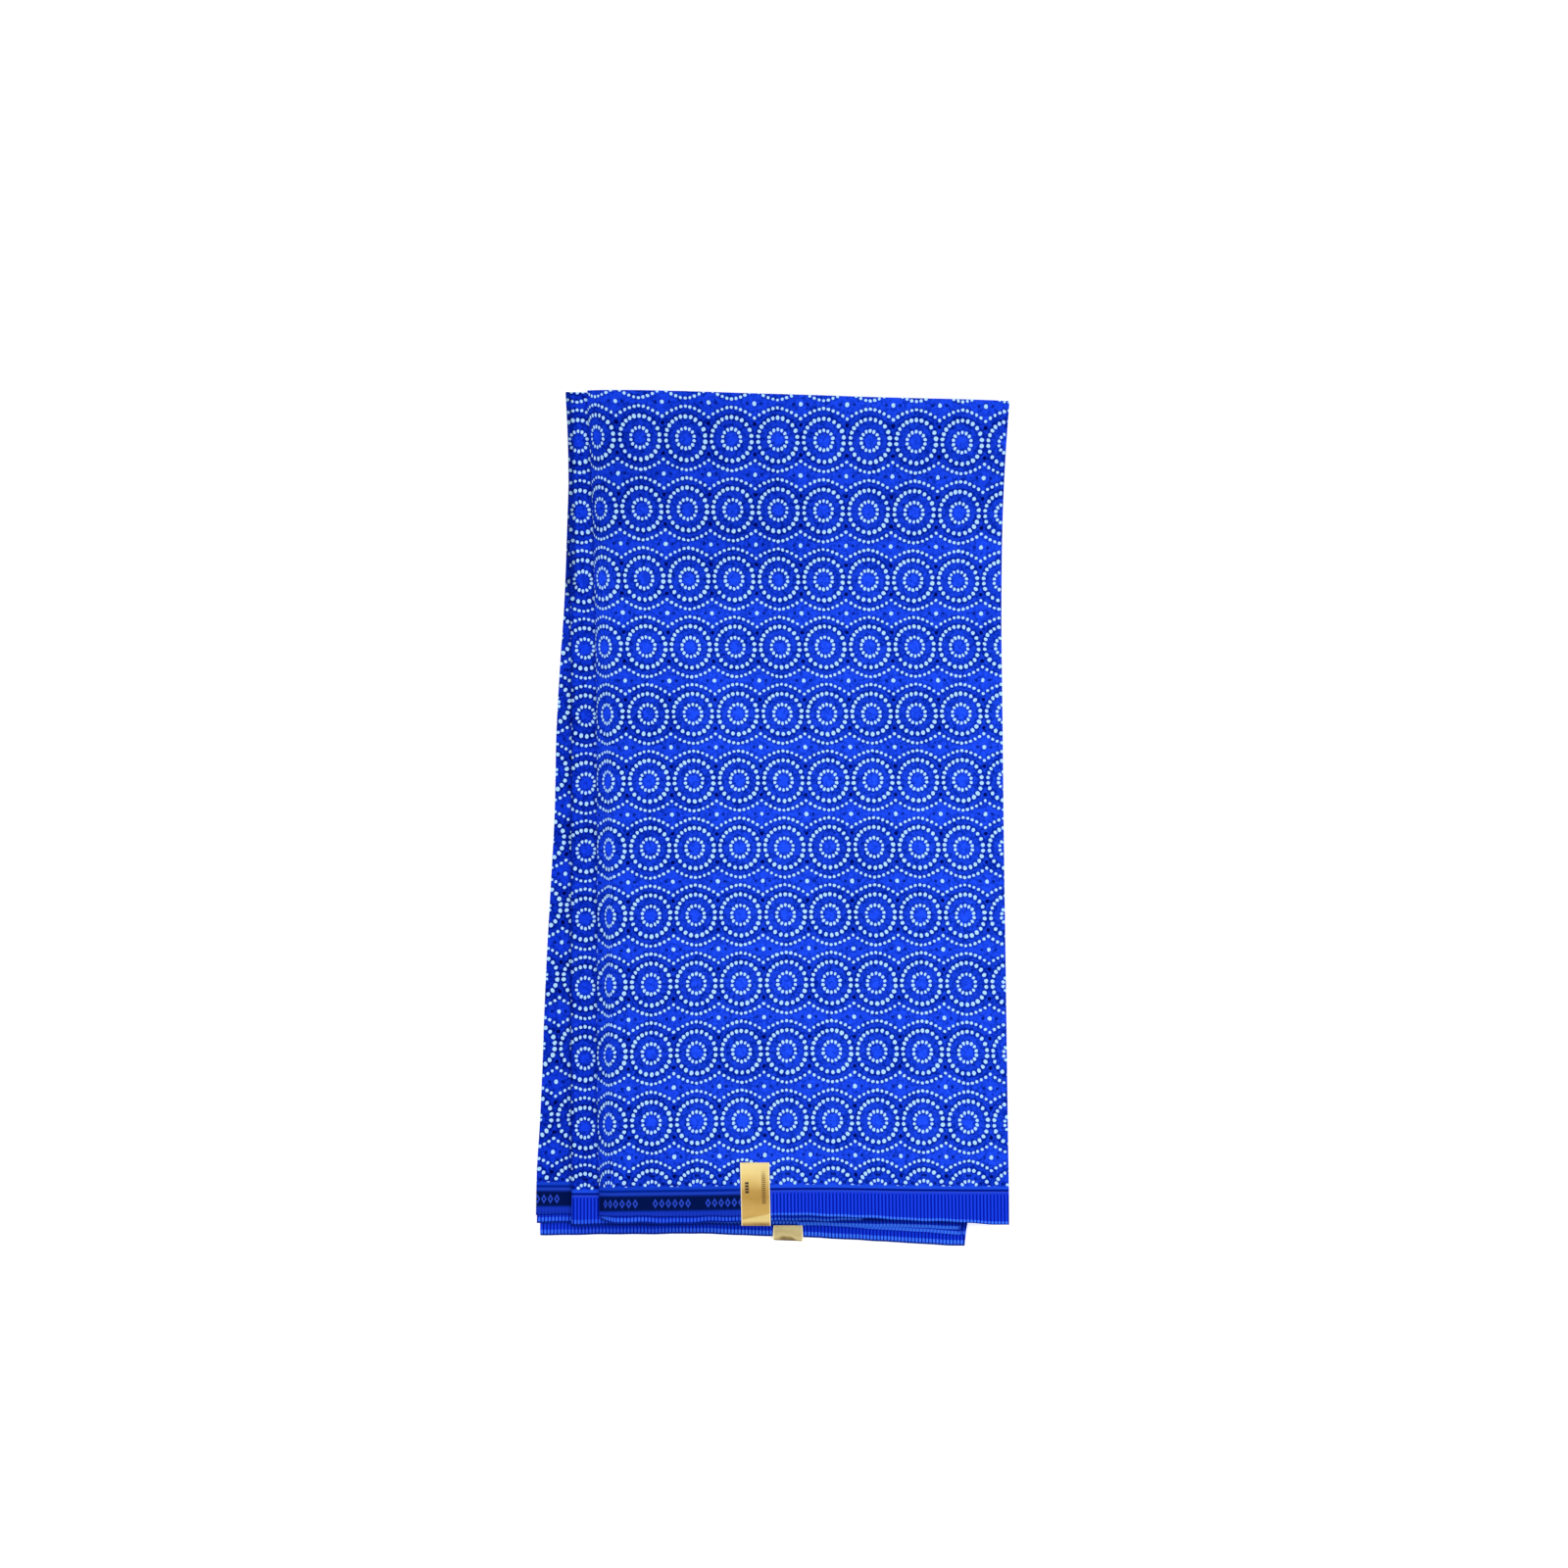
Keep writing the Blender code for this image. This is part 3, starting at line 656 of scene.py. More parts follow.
# The three leaves: where each starts and ends at the right edge, its outer ply's trim, and how
# far its inner ply reaches below the outer one at the left
LEAVES = table(
    "name node outline chart foot starts ends trim inner_below",
    ("second_cloth", "second_leaf", SECOND, SECOND_CHART, 2 * LEAF_LIFT,
     RETURN_FOLD, SECOND_FOLD, LONG_TEETH, 0.6 * MM),
    ("third_cloth", "third_leaf", THIRD, THIRD_CHART, LEAF_LIFT,
     SECOND_FOLD, THIRD_FOLD, PRINTED, 5.6 * MM),
    ("base_cloth", "base_leaf", BASE, BASE_CHART, 0.0,
     THIRD_FOLD, CUT_END, LONG_TEETH, 0.0),
)


def leaf_line(leaf, rows, gap):
    """The middle line of a leaf at every row: a quarter turn down at the right, a run to the
    left, a half turn at the left fold, a run back and a quarter turn down, or the cut end on
    the lowest leaf. Returns x, y, z, the distance to the cut edge and the first run's last
    station."""
    sizes = bpy.context.scene.cotton_sizes
    level = leaf.outline.level(rows.share)
    at_right = level - leaf.outline.low + leaf.outline.hem(CUT_END)
    drawn = NARROW * rise(at_right, *NARROW_OVER)
    starts = leaf.starts - drawn * (leaf.foot < LEAF_LIFT)
    ends = leaf.ends - drawn * (leaf.foot < 2 * LEAF_LIFT)
    lower, upper = (leaf.foot + share * LEAF for share in LEAF_PLIES)
    radius = (upper - lower) / 2
    left = leaf.outline.left(level) + gap + sizes.ply / 2
    bend = (LEAF_LIFT - 2 * radius) / 2
    quarter = turned(0, np.pi / 2, QUARTER_STEPS)[:-1]
    half_turn = turned(0, np.pi, LEAF_FOLD_STEPS)[1:-1]
    run = 1 - (1 - spaced(LEAF_RUN_STEPS)) ** LEAF_RUN_POWER
    flat = 0 * left
    x_top = between(flat + starts - bend, left + radius, run)
    x_back = between(left + radius, flat + ends - bend, spaced(LEAF_BACK_STEPS))
    blocks = [
        (flat + starts - bend * (1 - np.cos(quarter)), flat + upper + bend * (1 - np.sin(quarter))),
        (x_top, 0 * x_top + upper),
        (left + radius - radius * np.sin(half_turn),
         flat + (upper + lower) / 2 + radius * np.cos(half_turn)),
        (x_back, 0 * x_back + lower),
    ]
    if leaf.foot > 0:
        last = quarter[1:]
        blocks.append((flat + ends - bend * (1 - np.sin(last)),
                       flat + lower - bend * (1 - np.cos(last))))
        blocks.append((flat[None] + ends, flat[None] + lower - bend))
    x = np.concatenate([block[0] for block in blocks])
    z = np.concatenate([block[1] for block in blocks])
    reference = len(quarter) + len(x_top) - 1
    hem = leaf.outline.hem(x) + hem_waves(LEAF_HEM_WAVES, x, leaf.foot)
    outer = hem + leaf.inner_below * rise(x, 0, INNER_SHOWS_LEFT)
    below = rise(np.arange(len(x))[:, None], reference + 1, reference + 1 + SHY_STEPS)
    top = leaf.outline.top(x)
    y, to_edge = rows.climb(outer + SHY_OUTER * below, hem + SHY_INNER * below, top, gap)
    return x, y, z, to_edge, reference


def make_leaf(leaf):
    """One leaf under the wrap, four plies thick, as a doubled wall from leaf_line."""
    sizes = bpy.context.scene.cotton_sizes
    rows = Rows(outer=120, inner=36, turn=6, crowding=0.5)
    gap = LEAF_GAP * sizes.gap
    x, y, z, to_edge, reference = leaf_line(leaf, rows, gap)
    across = print_place(x, y, z, leaf.chart, reference)
    along = read_curve(leaf.chart, "up", "along", y)
    middle = doubled(x, y, z, rows, gap)
    lip = (x > LIP_FROM) & (leaf.foot > 0)
    trim = np.where(lip, LIPPED, np.where(rows.side > 0, leaf.trim, LONG_TEETH))
    beside = x - leaf.outline.left(y)
    # Painted shade above a lip, along the second leaf's left fold and near the upper leaves' left
    # folds at the top
    painted_shade = lip * LIP_SHADE * rise(to_edge, LIP_HEIGHT, LIP_HEIGHT + LIP_SOFT)
    painted_shade = painted_shade + CREASE_SHADE * np.exp(-((beside / CREASE_WIDTH) ** 2)) * (leaf.foot > LEAF_LIFT)
    high = FOLD_SHADE * rise(y, *FOLD_SHADE_UP) * (leaf.foot > 0)
    painted_shade = np.maximum(painted_shade, high * rise(beside, *FOLD_SHADE_ASIDE))
    return cotton_shell(
        leaf.name, leaf.node, middle, sizes.ply,
        at=(across, along), hem=(trim, to_edge), dye=(LEAF_DARKER_GROUND, painted_shade),
    )


def core_top(x, y):
    """Height of the top of the layers inside the wrap, rounded off along its left fold."""
    inset = WALL + CORE_AIR
    nose = PACK_FOOT + FOLD_NOSE
    past = np.clip((FRONT.left(y) + FOLD_REACH - x) / (FOLD_REACH - inset), 0, 1)
    return nose + (wrap_top(x, y) - inset - nose) * (1 - past**FOLD_POWER) ** (1 / FOLD_POWER)


def stagger(number, pace):
    """How far a panel's edge steps back from the longest one's, by its number."""
    return PANEL_STAGGER * (1 + np.sin(pace * number)) / 2


def make_inner_panels():
    """The ten panels inside the wrap: one doubled cloth that runs to and fro from its cut end
    at the bottom right, with a half turn up by a tenth of the height after each run, and ends
    at the top right, under the front cloth's right edge."""
    rows = Rows(outer=44, inner=44, turn=4, crowding=0.7)
    level = FRONT.level(rows.share)
    left = FRONT.left(level) + CORE_FOLD_SHY + PANEL_BEND
    right = FRONT.right(level) - CORE_RIGHT_SHY - PANEL_BEND
    blocks, numbers = [], []
    for number in range(PANELS, 0, -1):
        shy = stagger(number, PACE_SIDE)
        lean = CORE_FOLD_LEAN * (PANELS - number + 0.5) / PANELS
        start, end = right - shy, left + shy + lean
        if number % 2:
            start, end = end, start
        run = between(start, end, spaced(PANEL_STEPS, crowding=0.6))
        blocks.append(run)
        numbers.append(np.full(len(run), float(number)))
        if number > 1:
            angle = turned(0, np.pi, PANEL_TURN_STEPS)[1:-1]
            swing = PANEL_BEND * np.sin(angle)
            blocks.append(run[-1] + (swing if number % 2 else -swing))
            numbers.append(number - 0.5 + 0.5 * np.cos(angle[:, 0]))
    x = np.concatenate(blocks)
    number = np.concatenate(numbers)[:, None]
    hem = FRONT.hem(x) + CORE_HEM_SHY + PANEL_STAGGER * np.sin(PACE_HEM * number)
    inner = hem - PANEL_INNER * np.sin(PACE_INNER * number + 1)
    top = FRONT.top(x) - CORE_TOP_SHY - stagger(number, PACE_TOP)
    y, to_edge = rows.climb(hem, inner, top, PANEL_GAP)
    foot = wrap_foot(x) + WALL + CORE_AIR
    z = foot + (core_top(x, y) - foot) * (PANELS - number + 0.5) / PANELS
    middle = doubled(x, y, z, rows, PANEL_GAP)
    across = print_place(x, y, z, FRONT_CHART, 0)
    cloth = cotton_shell(
        "inner_panels", "hidden_layers", middle, PANEL_PLY,
        at=(across, y - LINE_LEVEL), hem=(RIBBED, to_edge), dye=(0.0, 0 * x),
    )
    return cloth


class Term:
    """A value in a material. Its operators add Math nodes, so that masks read as arithmetic."""

    def __init__(self, paint, socket):
        self.paint, self.socket = paint, socket

    def math(self, operation, *others):
        return self.paint.math(operation, self, *others)

    def __add__(self, other):
        return self.math("ADD", other)

    def __sub__(self, other):
        return self.math("SUBTRACT", other)

    def __rsub__(self, other):
        return self.paint.math("SUBTRACT", other, self)

    def __mul__(self, other):
        return self.math("MULTIPLY", other)

    def __truediv__(self, other):
        return self.math("DIVIDE", other)

    def __abs__(self):
        return self.math("ABSOLUTE")

    __radd__ = __add__
    __rmul__ = __mul__

    def or_more(self, other):
        return self.math("MAXIMUM", other)

    def fade(self, start, end):
        """0 before start and 1 after end, with a smooth way between. Start may be the higher."""
        settings = {"interpolation_type": "SMOOTHSTEP", "clamp": True}
        ends = {"Value": self, "From Min": start, "From Max": end}
        return self.paint.node("ShaderNodeMapRange", ends, settings)

    def from_middle(self, pitch):
        """The distance to the nearest middle of a row of cells."""
        cell = self / pitch
        return (cell - cell.math("ROUND")) * pitch


# A noise: the size of its features in millimetres, its detail and roughness, and how strong it
# is where it is laid on
Grain = namedtuple("Grain", "size detail roughness strength", defaults=(1.0, 0.5, 1.0))


class Paint:
    """A material's node tree. node() adds any node, and the other methods are short for it."""

    def __init__(self, name):
        self.material = bpy.data.materials.new(name)
        self.material.use_nodes = True
        self.tree = self.material.node_tree
        self.shader = self.tree.nodes["Principled BSDF"]

    def feed(self, node, inputs):
        """Links or values for a node's sockets."""
        for name, value in inputs.items():
            if isinstance(value, Term):
                self.tree.links.new(value.socket, node.inputs[name])
            else:
                node.inputs[name].default_value = value

    def node(self, kind, inputs, settings=None, out=0):
        """Any node, by its type, its settings and what its sockets take."""
        made = self.tree.nodes.new(kind)
        for name, value in (settings or {}).items():
            if name == "stops":
                while len(made.color_ramp.elements) < len(value):
                    made.color_ramp.elements.new(1.0)
                for element, (position, colour) in zip(made.color_ramp.elements, value):
                    element.position, element.color = position, colour
            else:
                setattr(made, name, value)
        self.feed(made, inputs)
        return Term(self, made.outputs[out])

    def done(self, inputs):
        """The material, with its shader's inputs."""
        self.feed(self.shader, inputs)
        return self.material

    def math(self, operation, *values):
        return self.node("ShaderNodeMath", dict(enumerate(values)), {"operation": operation})

    def mix(self, share, first, second):
        """One colour over another."""
        colours = {0: share, 6: first, 7: second}
        return self.node("ShaderNodeMix", colours, {"data_type": "RGBA"}, out=2)

    def scaled(self, colour, share):
        settings = {"operation": "SCALE"}
        return self.node("ShaderNodeVectorMath", {0: colour, "Scale": share}, settings)

    def ramp(self, share, stops):
        """The colour at a share of a ramp, whose stops are places and colours."""
        return self.node("ShaderNodeValToRGB", {0: share}, {"stops": stops})

    def uv(self, name):
        """The two values of a UV map, and the map itself."""
        place = self.node("ShaderNodeUVMap", {}, {"uv_map": name})
        parts = [self.node("ShaderNodeSeparateXYZ", {0: place}, out=k) for k in (0, 1)]
        return parts[0], parts[1], place

    def noise(self, place, grain):
        """A grain's noise around 0, before its strength."""
        values = {"Vector": place, "Scale": 1 / (grain.size * MM)}
        values.update(Detail=grain.detail, Roughness=grain.roughness)
        return self.node("ShaderNodeTexNoise", values) - 0.5

    def bump(self, height, strength, distance):
        values = {"Height": height, "Strength": strength, "Distance": distance}
        return self.node("ShaderNodeBump", values)


def tone(red, green, blue):
    """A screen colour, 0 to 255 a channel, as the linear colour that a shader takes."""
    screen = np.array([red, green, blue]) / 255
    linear = np.where(screen > 0.04045, ((screen + 0.055) / 1.055) ** 2.4, screen / 12.92)
    return (*(float(c) for c in linear), 1.0)


def length_of(x, y):
    """The length of two sides square to each other."""
    return (x * x + y * y).math("SQRT")


# How light the blue ground is at a distance from a ring's middle, from 0, the deep blue, to 1,
# the light one
GROUND = table(
    "distance light",
    (0.0, 0.84), (3.2, 0.82), (4.2, 0.57), (8.2, 0.44), (10.0, 0.54), (11.8, 0.43), (14.5, 0.31),
    (15.9, 0.12), (17.2, 0.52), (18.7, 0.39), (21.5, 0.50), (23.2, 0.68), (26.0, 0.73),
)
GROUND_SPAN = 28.0 * MM

# The print's own unevenness: slow drift and wobble of its places, rough edges of its spots, and
# the ground's mottle, its thin veins and its slow changes
DRIFT = Grain(45)
DRIFT_ACROSS = 1.2  # its strength across, as a share of that along
WOBBLE = Grain(3.2, strength=0.9)
WOBBLE_ALONG = Grain(3.4, strength=0.9)
WOBBLE_SCALE = 1.13  # keeps the second wobble clear of the first
ROUGH = Grain(7, strength=0.5)
MOTTLE = Grain(2.3, 3.0, 0.6, 1.35)
VEINS = Grain(9, 3.0, 0.6, 0.42)
VEIN_EDGE = (0.035, 0.0)
SLOW = Grain(60, strength=0.35)

# Rings of spots: an ellipse's half sizes, how many spots, each spot's half sizes along the ring
# and out from it, how the spots sway along it, and how much the lower right ones swell
RING = "across along count spot_along spot_out sway_right sway_up sway_aside swell"
INNER_RING, OUTER_RING = table(
    RING,
    (6.2, 6.8, 14, 1.00, 1.22, 0.0, 0.0, 0.0, 0.0),
    (13.7, 14.6, 23, 1.27, 1.42, 0.275, 0.194, 0.306, 0.06),
)
SWELL_RIGHT, SWELL_DOWN = 0.77, 0.64  # the way in which the spots swell
SCALLOP_CREST = 21.3 * MM
SCALLOP_DROP = 6.9 * MM
SCALLOP_POWER = 1.65
SCALLOP_SPOTS = 10  # in one repeat
SCALLOP_SPOT = 1.07 * MM
DIAMOND_SPOT = (1.35 * MM, 1.48 * MM)
SPOT_EDGE = (1.12, 0.84)  # a spot's soft edge, in its own half sizes
HALO_EDGE = (2.0, 1.15)  # and that of the darker ground round it
HALO = 0.16

# The small dark spots: beside the diamonds' spots, inside the scallops' ends, and round the half
# discs of the lowest row
SHADE_SPOT_ASIDE = 4.8 * MM
SHADE_SPOT = 1.15 * MM
SHADE_EDGE = (1.3, 0.6)
SHADE_DEPTH = 0.75
NAVY_SPOT_UP = 10.2 * MM
NAVY_SPOT = (1.35 * MM, 1.4 * MM)
NAVY_EDGE = (1.15, 0.75)
HEM_SHADES = table("aside above size", (8.0, 5.0, 1.2), (0.9, 10.6, 1.1))
HEM_SHADE_DEPTH = 0.8
LOWEST_ROW = (15 * MM, 12 * MM)
DARKENING_GAMMA = 0.6  # how much more the darkening takes from red and green than from blue

# The selvedge's colour at distances below its dark line, where it is printed and where ribbed
BAND = "below red green blue"
PRINTED_BAND = table(
    BAND,
    (-3.0, 20, 63, 200), (-1.4, 19, 60, 194), (-0.6, 3, 34, 142), (0.5, 3, 34, 142),
    (1.2, 30, 62, 184), (2.3, 27, 58, 178), (3.3, 9, 33, 123), (4.2, 3, 18, 72),
    (13.0, 3, 18, 72), (14.0, 10, 38, 140), (14.9, 17, 47, 172), (17.2, 16, 45, 166),
    (18.4, 10, 38, 150),
)
RIBBED_BAND = table(
    BAND,
    (-3.0, 28, 75, 223), (-1.2, 27, 72, 216), (-0.5, 0, 16, 126), (0.3, 0, 16, 126),
    (1.1, 40, 72, 210), (1.9, 26, 57, 206), (3.0, 22, 52, 205),
)
BAND_FROM = -4.0 * MM
BAND_SPAN = 30.0 * MM
PRINT_ENDS = (3.35 * MM, 2.85 * MM)
RIB = 2.45 * MM
RIBS_FROM = (2.4 * MM, 3.2 * MM)
RIB_DARK, RIB_LIGHT = tone(0, 14, 152), tone(27, 66, 230)
EDGE_RIBS_FROM = (14.4 * MM, 15.0 * MM)
EDGE_RIBS = 0.35
EDGE_RIB_LIGHT = tone(34, 66, 214)

# The plain marks in the printed band: groups of lozenges, each an outline
MARK = 4.6 * MM
MARK_GROUP = 37.0 * MM
MARKS_END = (27.6 * MM, 27.4 * MM)
MARK_MIDDLE = 8.7 * MM
MARK_HALF = (1.95 * MM, 3.4 * MM)
MARK_INSIDE = (0.36, 0.50)  # the outline's soft edges, in the lozenge's own half sizes
MARK_OUTSIDE = (1.08, 0.92)
MARK_STRENGTH = 0.75
MARK_COLOUR = tone(46, 78, 214)

# The teeth at the cut edge: how long, how far the painted light catches them, and the
# painted shadow along the cut edge
TOOTH = 2.2 * MM
TOOTH_LONGER = 1.7 * MM
TOOTH_END = (0.25 * MM, -0.15 * MM)
TOOTH_SIDE = (0.1, 0.5)
TOOTH_COLOUR = tone(60, 120, 255)
LIP_GAPS = 0.5  # how bright the painted light makes the gaps between a lip's teeth
BRIGHT_RIGHT = (35 * MM, 140 * MM)
BRIGHT_LEFT = (8 * MM, -22 * MM)
BRIGHT_LEFT_SHARE = 0.5
BRIGHT_LEAST, BRIGHT_MORE = 0.35, 0.65
CUT = (1.0 * MM, 0.3 * MM)
CUT_HIGHER = 0.6 * MM  # below long teeth
CUT_SHADOW_DEPTH = 0.85
CUT_LOST = 0.9  # how much of it a lip hides
CUT_SHADOW_COLOUR = tone(2, 18, 110)

# The weave
FUZZ = Grain(0.9, 2.0, strength=0.8)
WEAVE = 0.5
WEAVE_BUMP = (0.35, 0.05 * MM)

# A label's gold with its painted reflections and painted shade, at a way up from its lower end.
# The lower label's start further up the table.
FOIL_GOLD_AND_REFLECTIONS = table(
    "up red green blue",
    (0.0, 150, 116, 60), (2.0, 178, 143, 79), (4.5, 196, 160, 85), (9.0, 204, 166, 84),
    (14.0, 198, 160, 80), (20.0, 184, 143, 64), (25.0, 192, 153, 72), (31.0, 220, 187, 108),
    (37.0, 232, 206, 131), (44.0, 237, 215, 147), (58.0, 84, 62, 14), (59.6, 146, 121, 58),
    (61.5, 212, 194, 136), (65.0, 200, 180, 122), (72.0, 228, 212, 156),
)
FOIL_SPAN = 80 * MM
LOWER_TONES_FROM = 58 * MM
FOIL_TURNED = 6.3 * MM  # how much of the front label's path lies past its lowest edge
CLOUD = Grain(11, strength=9)
WRINKLE = Grain(4, 3.0)
WRINKLE_BUMP = (0.3, 0.2 * MM)
# Painted highlights: below a slanted soft crease, fading towards the lower end, and along the rim
FOIL_CREASE = (7.3 * MM, 5.7 * MM)
FOIL_CREASE_SLANT = 0.22
FOIL_CREASE_LIT = 0.8
FOIL_END_DARK = (1.2 * MM, 4.2 * MM)
FOIL_RIM = (LABEL_WIDTH / 2 - 0.8 * MM, LABEL_WIDTH / 2 - 0.3 * MM)
FOIL_RIM_LIT = 0.85
FOIL_RIM_COLOUR = tone(250, 238, 196)

# Plain bars on the front label, in millimetres: their pitch, how far aside of the middle their
# column lies, its and each bar's soft edge, where it starts and ends, and their strength
Bars = namedtuple("Bars", "pitch aside side bar starts ends strength colour")
TICKS = Bars(1.45, 5.9, (1.6, 1.2), (0.12, 0.22), (15, 16), (42, 33), 0.8, tone(88, 56, 16))
BLOCKS = Bars(
    2.1, -5.9, (1.5, 1.2), (0.08, 0.16), (23.0, 23.2), (31.6, 31.4), 0.95, tone(30, 16, 6)
)


def ring_spots(across, along, ring):
    """How far a place lies from the nearest spot of a ring, as a share of the spot's size. The
    ring is an ellipse cut into turns, with a spot in the middle of each. The ring's sways move
    the spots along it, and its swell makes the lower right ones larger."""
    wide, tall = ring.across * MM, ring.along * MM
    radius = (wide + tall) / 2
    x, y = across / wide, along / tall
    far = length_of(x, y)
    right, up = x / far, y / far
    turns = x.math("ARCTAN2", y) * (ring.count / (2 * np.pi))
    turns = turns + right * ring.sway_right + (up - 1) * ring.sway_up
    turns = turns - right * right * ring.sway_aside
    crowd = up * ring.sway_right - right * ring.sway_up - right * up * (2 * ring.sway_aside)
    crowd = crowd + ring.count / (2 * np.pi)
    aside = (turns - turns.math("ROUND")) / crowd * radius
    size = (right * SWELL_RIGHT - up * SWELL_DOWN) * ring.swell + 1
    out = (far - 1) * radius
    return length_of(aside / (ring.spot_along * MM), out / (ring.spot_out * MM)) / size


def toned(paint, rows, column, place, start, span):
    """A table's colours along a ramp from its start over its span, at a place."""
    stops = [
        ((getattr(row, column) * MM - start) / span, tone(row.red, row.green, row.blue))
        for row in rows
    ]
    return paint.ramp(place / span if start == 0 else (place - start) / span, stops)


# A place in a cell of the print: from its middle, how far from it either way, and how far from
# its corner
Cell = namedtuple("Cell", "x y right up to_side to_end")


def pale_spots(paint, place, cell):
    """How far a place lies from the nearest pale spot, as a share of its size: of the two
    rings, of the scallops between the rows, or of the diamond where four cells meet."""
    right, up = cell.right, cell.up
    inner = ring_spots(cell.x, cell.y, INNER_RING)
    outer = ring_spots(cell.x, cell.y, OUTER_RING)
    step = REPEAT_ACROSS / SCALLOP_SPOTS
    spot_right = (right / step).math("ROUND") * step
    fall = (spot_right / (REPEAT_ACROSS / 2)).math("POWER", SCALLOP_POWER) * SCALLOP_DROP
    scallop = length_of(right - spot_right, up + fall - SCALLOP_CREST) / SCALLOP_SPOT
    diamond = length_of(cell.to_side / DIAMOND_SPOT[0], cell.to_end / DIAMOND_SPOT[1])
    nearest = inner.math("MINIMUM", outer).math("MINIMUM", scallop).math("MINIMUM", diamond)
    return nearest * (1 + paint.noise(place, ROUGH) * ROUGH.strength)


def dark_spots(cell, along):
    """How strongly the small dark spots show at a place."""
    shade = length_of(cell.to_side - SHADE_SPOT_ASIDE, cell.to_end) / SHADE_SPOT
    navy = length_of(cell.to_side / NAVY_SPOT[0], (cell.up - NAVY_SPOT_UP) / NAVY_SPOT[1])
    dark = navy.fade(*NAVY_EDGE).or_more(shade.fade(*SHADE_EDGE) * SHADE_DEPTH)
    lowest = along.fade(*LOWEST_ROW)
    for row in HEM_SHADES:
        spot = length_of(cell.right - row.aside * MM, cell.up - row.above * MM) / (row.size * MM)
        dark = dark.or_more(spot.fade(*SHADE_EDGE) * lowest * HEM_SHADE_DEPTH)
    return dark


def ring_print(paint, place, across, along, dye, colours):
    """The dotted repeat: a disc and two rings of spots in each cell, scallops of spots between
    the rows, and a spot in each diamond where four cells meet. The darkening, partly painted
    shade, darkens the ground, its red and green the most, and leaves the spots."""
    drift = paint.noise(place, DRIFT)
    wobble = paint.noise(place, WOBBLE)
    wobble_along = paint.noise(paint.scaled(place, WOBBLE_SCALE), WOBBLE_ALONG)
    x = across + drift * (DRIFT.strength * DRIFT_ACROSS * MM) + wobble * (WOBBLE.strength * MM)
    y = along + drift * (DRIFT.strength * MM) + wobble_along * (WOBBLE_ALONG.strength * MM)
    x, y = x.from_middle(REPEAT_ACROSS), y.from_middle(REPEAT_ALONG)
    right, up = abs(x), abs(y)
    cell = Cell(x, y, right, up, REPEAT_ACROSS / 2 - right, REPEAT_ALONG / 2 - up)
    nearest = pale_spots(paint, place, cell)
    oval = length_of(x / OUTER_RING.across, y / OUTER_RING.along)
    distance = oval * ((OUTER_RING.across + OUTER_RING.along) / 2)
    stops = [(row.distance * MM / GROUND_SPAN, (*[row.light] * 3, 1.0)) for row in GROUND]
    light = paint.ramp(distance / GROUND_SPAN, stops)
    mottle = paint.noise(place, MOTTLE) * MOTTLE.strength
    veins = abs(paint.noise(place, VEINS)).fade(*VEIN_EDGE) * VEINS.strength
    slow = paint.noise(place, SLOW) * SLOW.strength
    light = light + mottle - veins - nearest.fade(*HALO_EDGE) * HALO + slow
    ground = paint.mix(light.or_more(0.0), (*colours.deep_blue, 1.0), (*colours.light_blue, 1.0))
    ground = paint.mix(dark_spots(cell, along), ground, (*colours.navy, 1.0))
    ground = paint.node("ShaderNodeGamma", {0: ground, 1: 1 + dye * DARKENING_GAMMA})
    ground = paint.scaled(ground, 1 - dye)
    return paint.mix(nearest.fade(*SPOT_EDGE), ground, (*colours.spot, 1.0))


def selvedge(paint, across, along, trim, to_edge):
    """The woven and printed edge below the print: a dark and a light line, then a navy band
    with plain marks or a run of ribs, and a row of bright teeth at the cut edge, with painted
    light on the teeth and lips and a painted shadow along the cut edge."""
    below = 0 - along
    rib = (across * (2 * np.pi / RIB)).math("SINE") * 0.5 + 0.5
    ribs = paint.mix(rib, RIB_DARK, RIB_LIGHT)
    ribbed = toned(paint, RIBBED_BAND, "below", below, BAND_FROM, BAND_SPAN)
    ribbed = paint.mix(below.fade(*RIBS_FROM), ribbed, ribs)
    printed = toned(paint, PRINTED_BAND, "below", below, BAND_FROM, BAND_SPAN)
    printed = paint.mix(below.fade(*EDGE_RIBS_FROM) * rib * EDGE_RIBS, printed, EDGE_RIB_LIGHT)
    group = (across / MARK_GROUP).math("FRACT") * MARK_GROUP
    mark = abs((group - MARK / 2).from_middle(MARK))
    lozenge = mark / MARK_HALF[0] + abs(below - MARK_MIDDLE) / MARK_HALF[1]
    stroke = lozenge.fade(*MARK_INSIDE) * lozenge.fade(*MARK_OUTSIDE) * group.fade(*MARKS_END)
    printed = paint.mix(stroke * MARK_STRENGTH, printed, MARK_COLOUR)
    is_ribbed = trim.fade(*RIBS_BEGIN)
    colour = paint.mix(is_ribbed, printed, ribbed)
    long = trim.fade(*LONG_TEETH_BEGIN)
    lit = trim.fade(*LIP_BEGINS) * (1 - long)
    past = to_edge - (TOOTH + long * TOOTH_LONGER)
    # On a lip, painted light fills the gaps between its teeth
    teeth = past.fade(*TOOTH_END) * rib.fade(*TOOTH_SIDE).or_more(lit * LIP_GAPS)
    teeth = teeth * is_ribbed * trim.fade(*TEETH_STOP)
    bright = across.fade(*BRIGHT_RIGHT).or_more(across.fade(*BRIGHT_LEFT) * BRIGHT_LEFT_SHARE)
    teeth = teeth * (bright * BRIGHT_MORE + BRIGHT_LEAST)
    colour = paint.mix(teeth, colour, TOOTH_COLOUR)
    # A painted shadow along the cut edge, mostly hidden on a lip
    cut = (to_edge - long * CUT_HIGHER).fade(*CUT) * (1 - lit * CUT_LOST) * CUT_SHADOW_DEPTH
    return paint.mix(cut, colour, CUT_SHADOW_COLOUR)


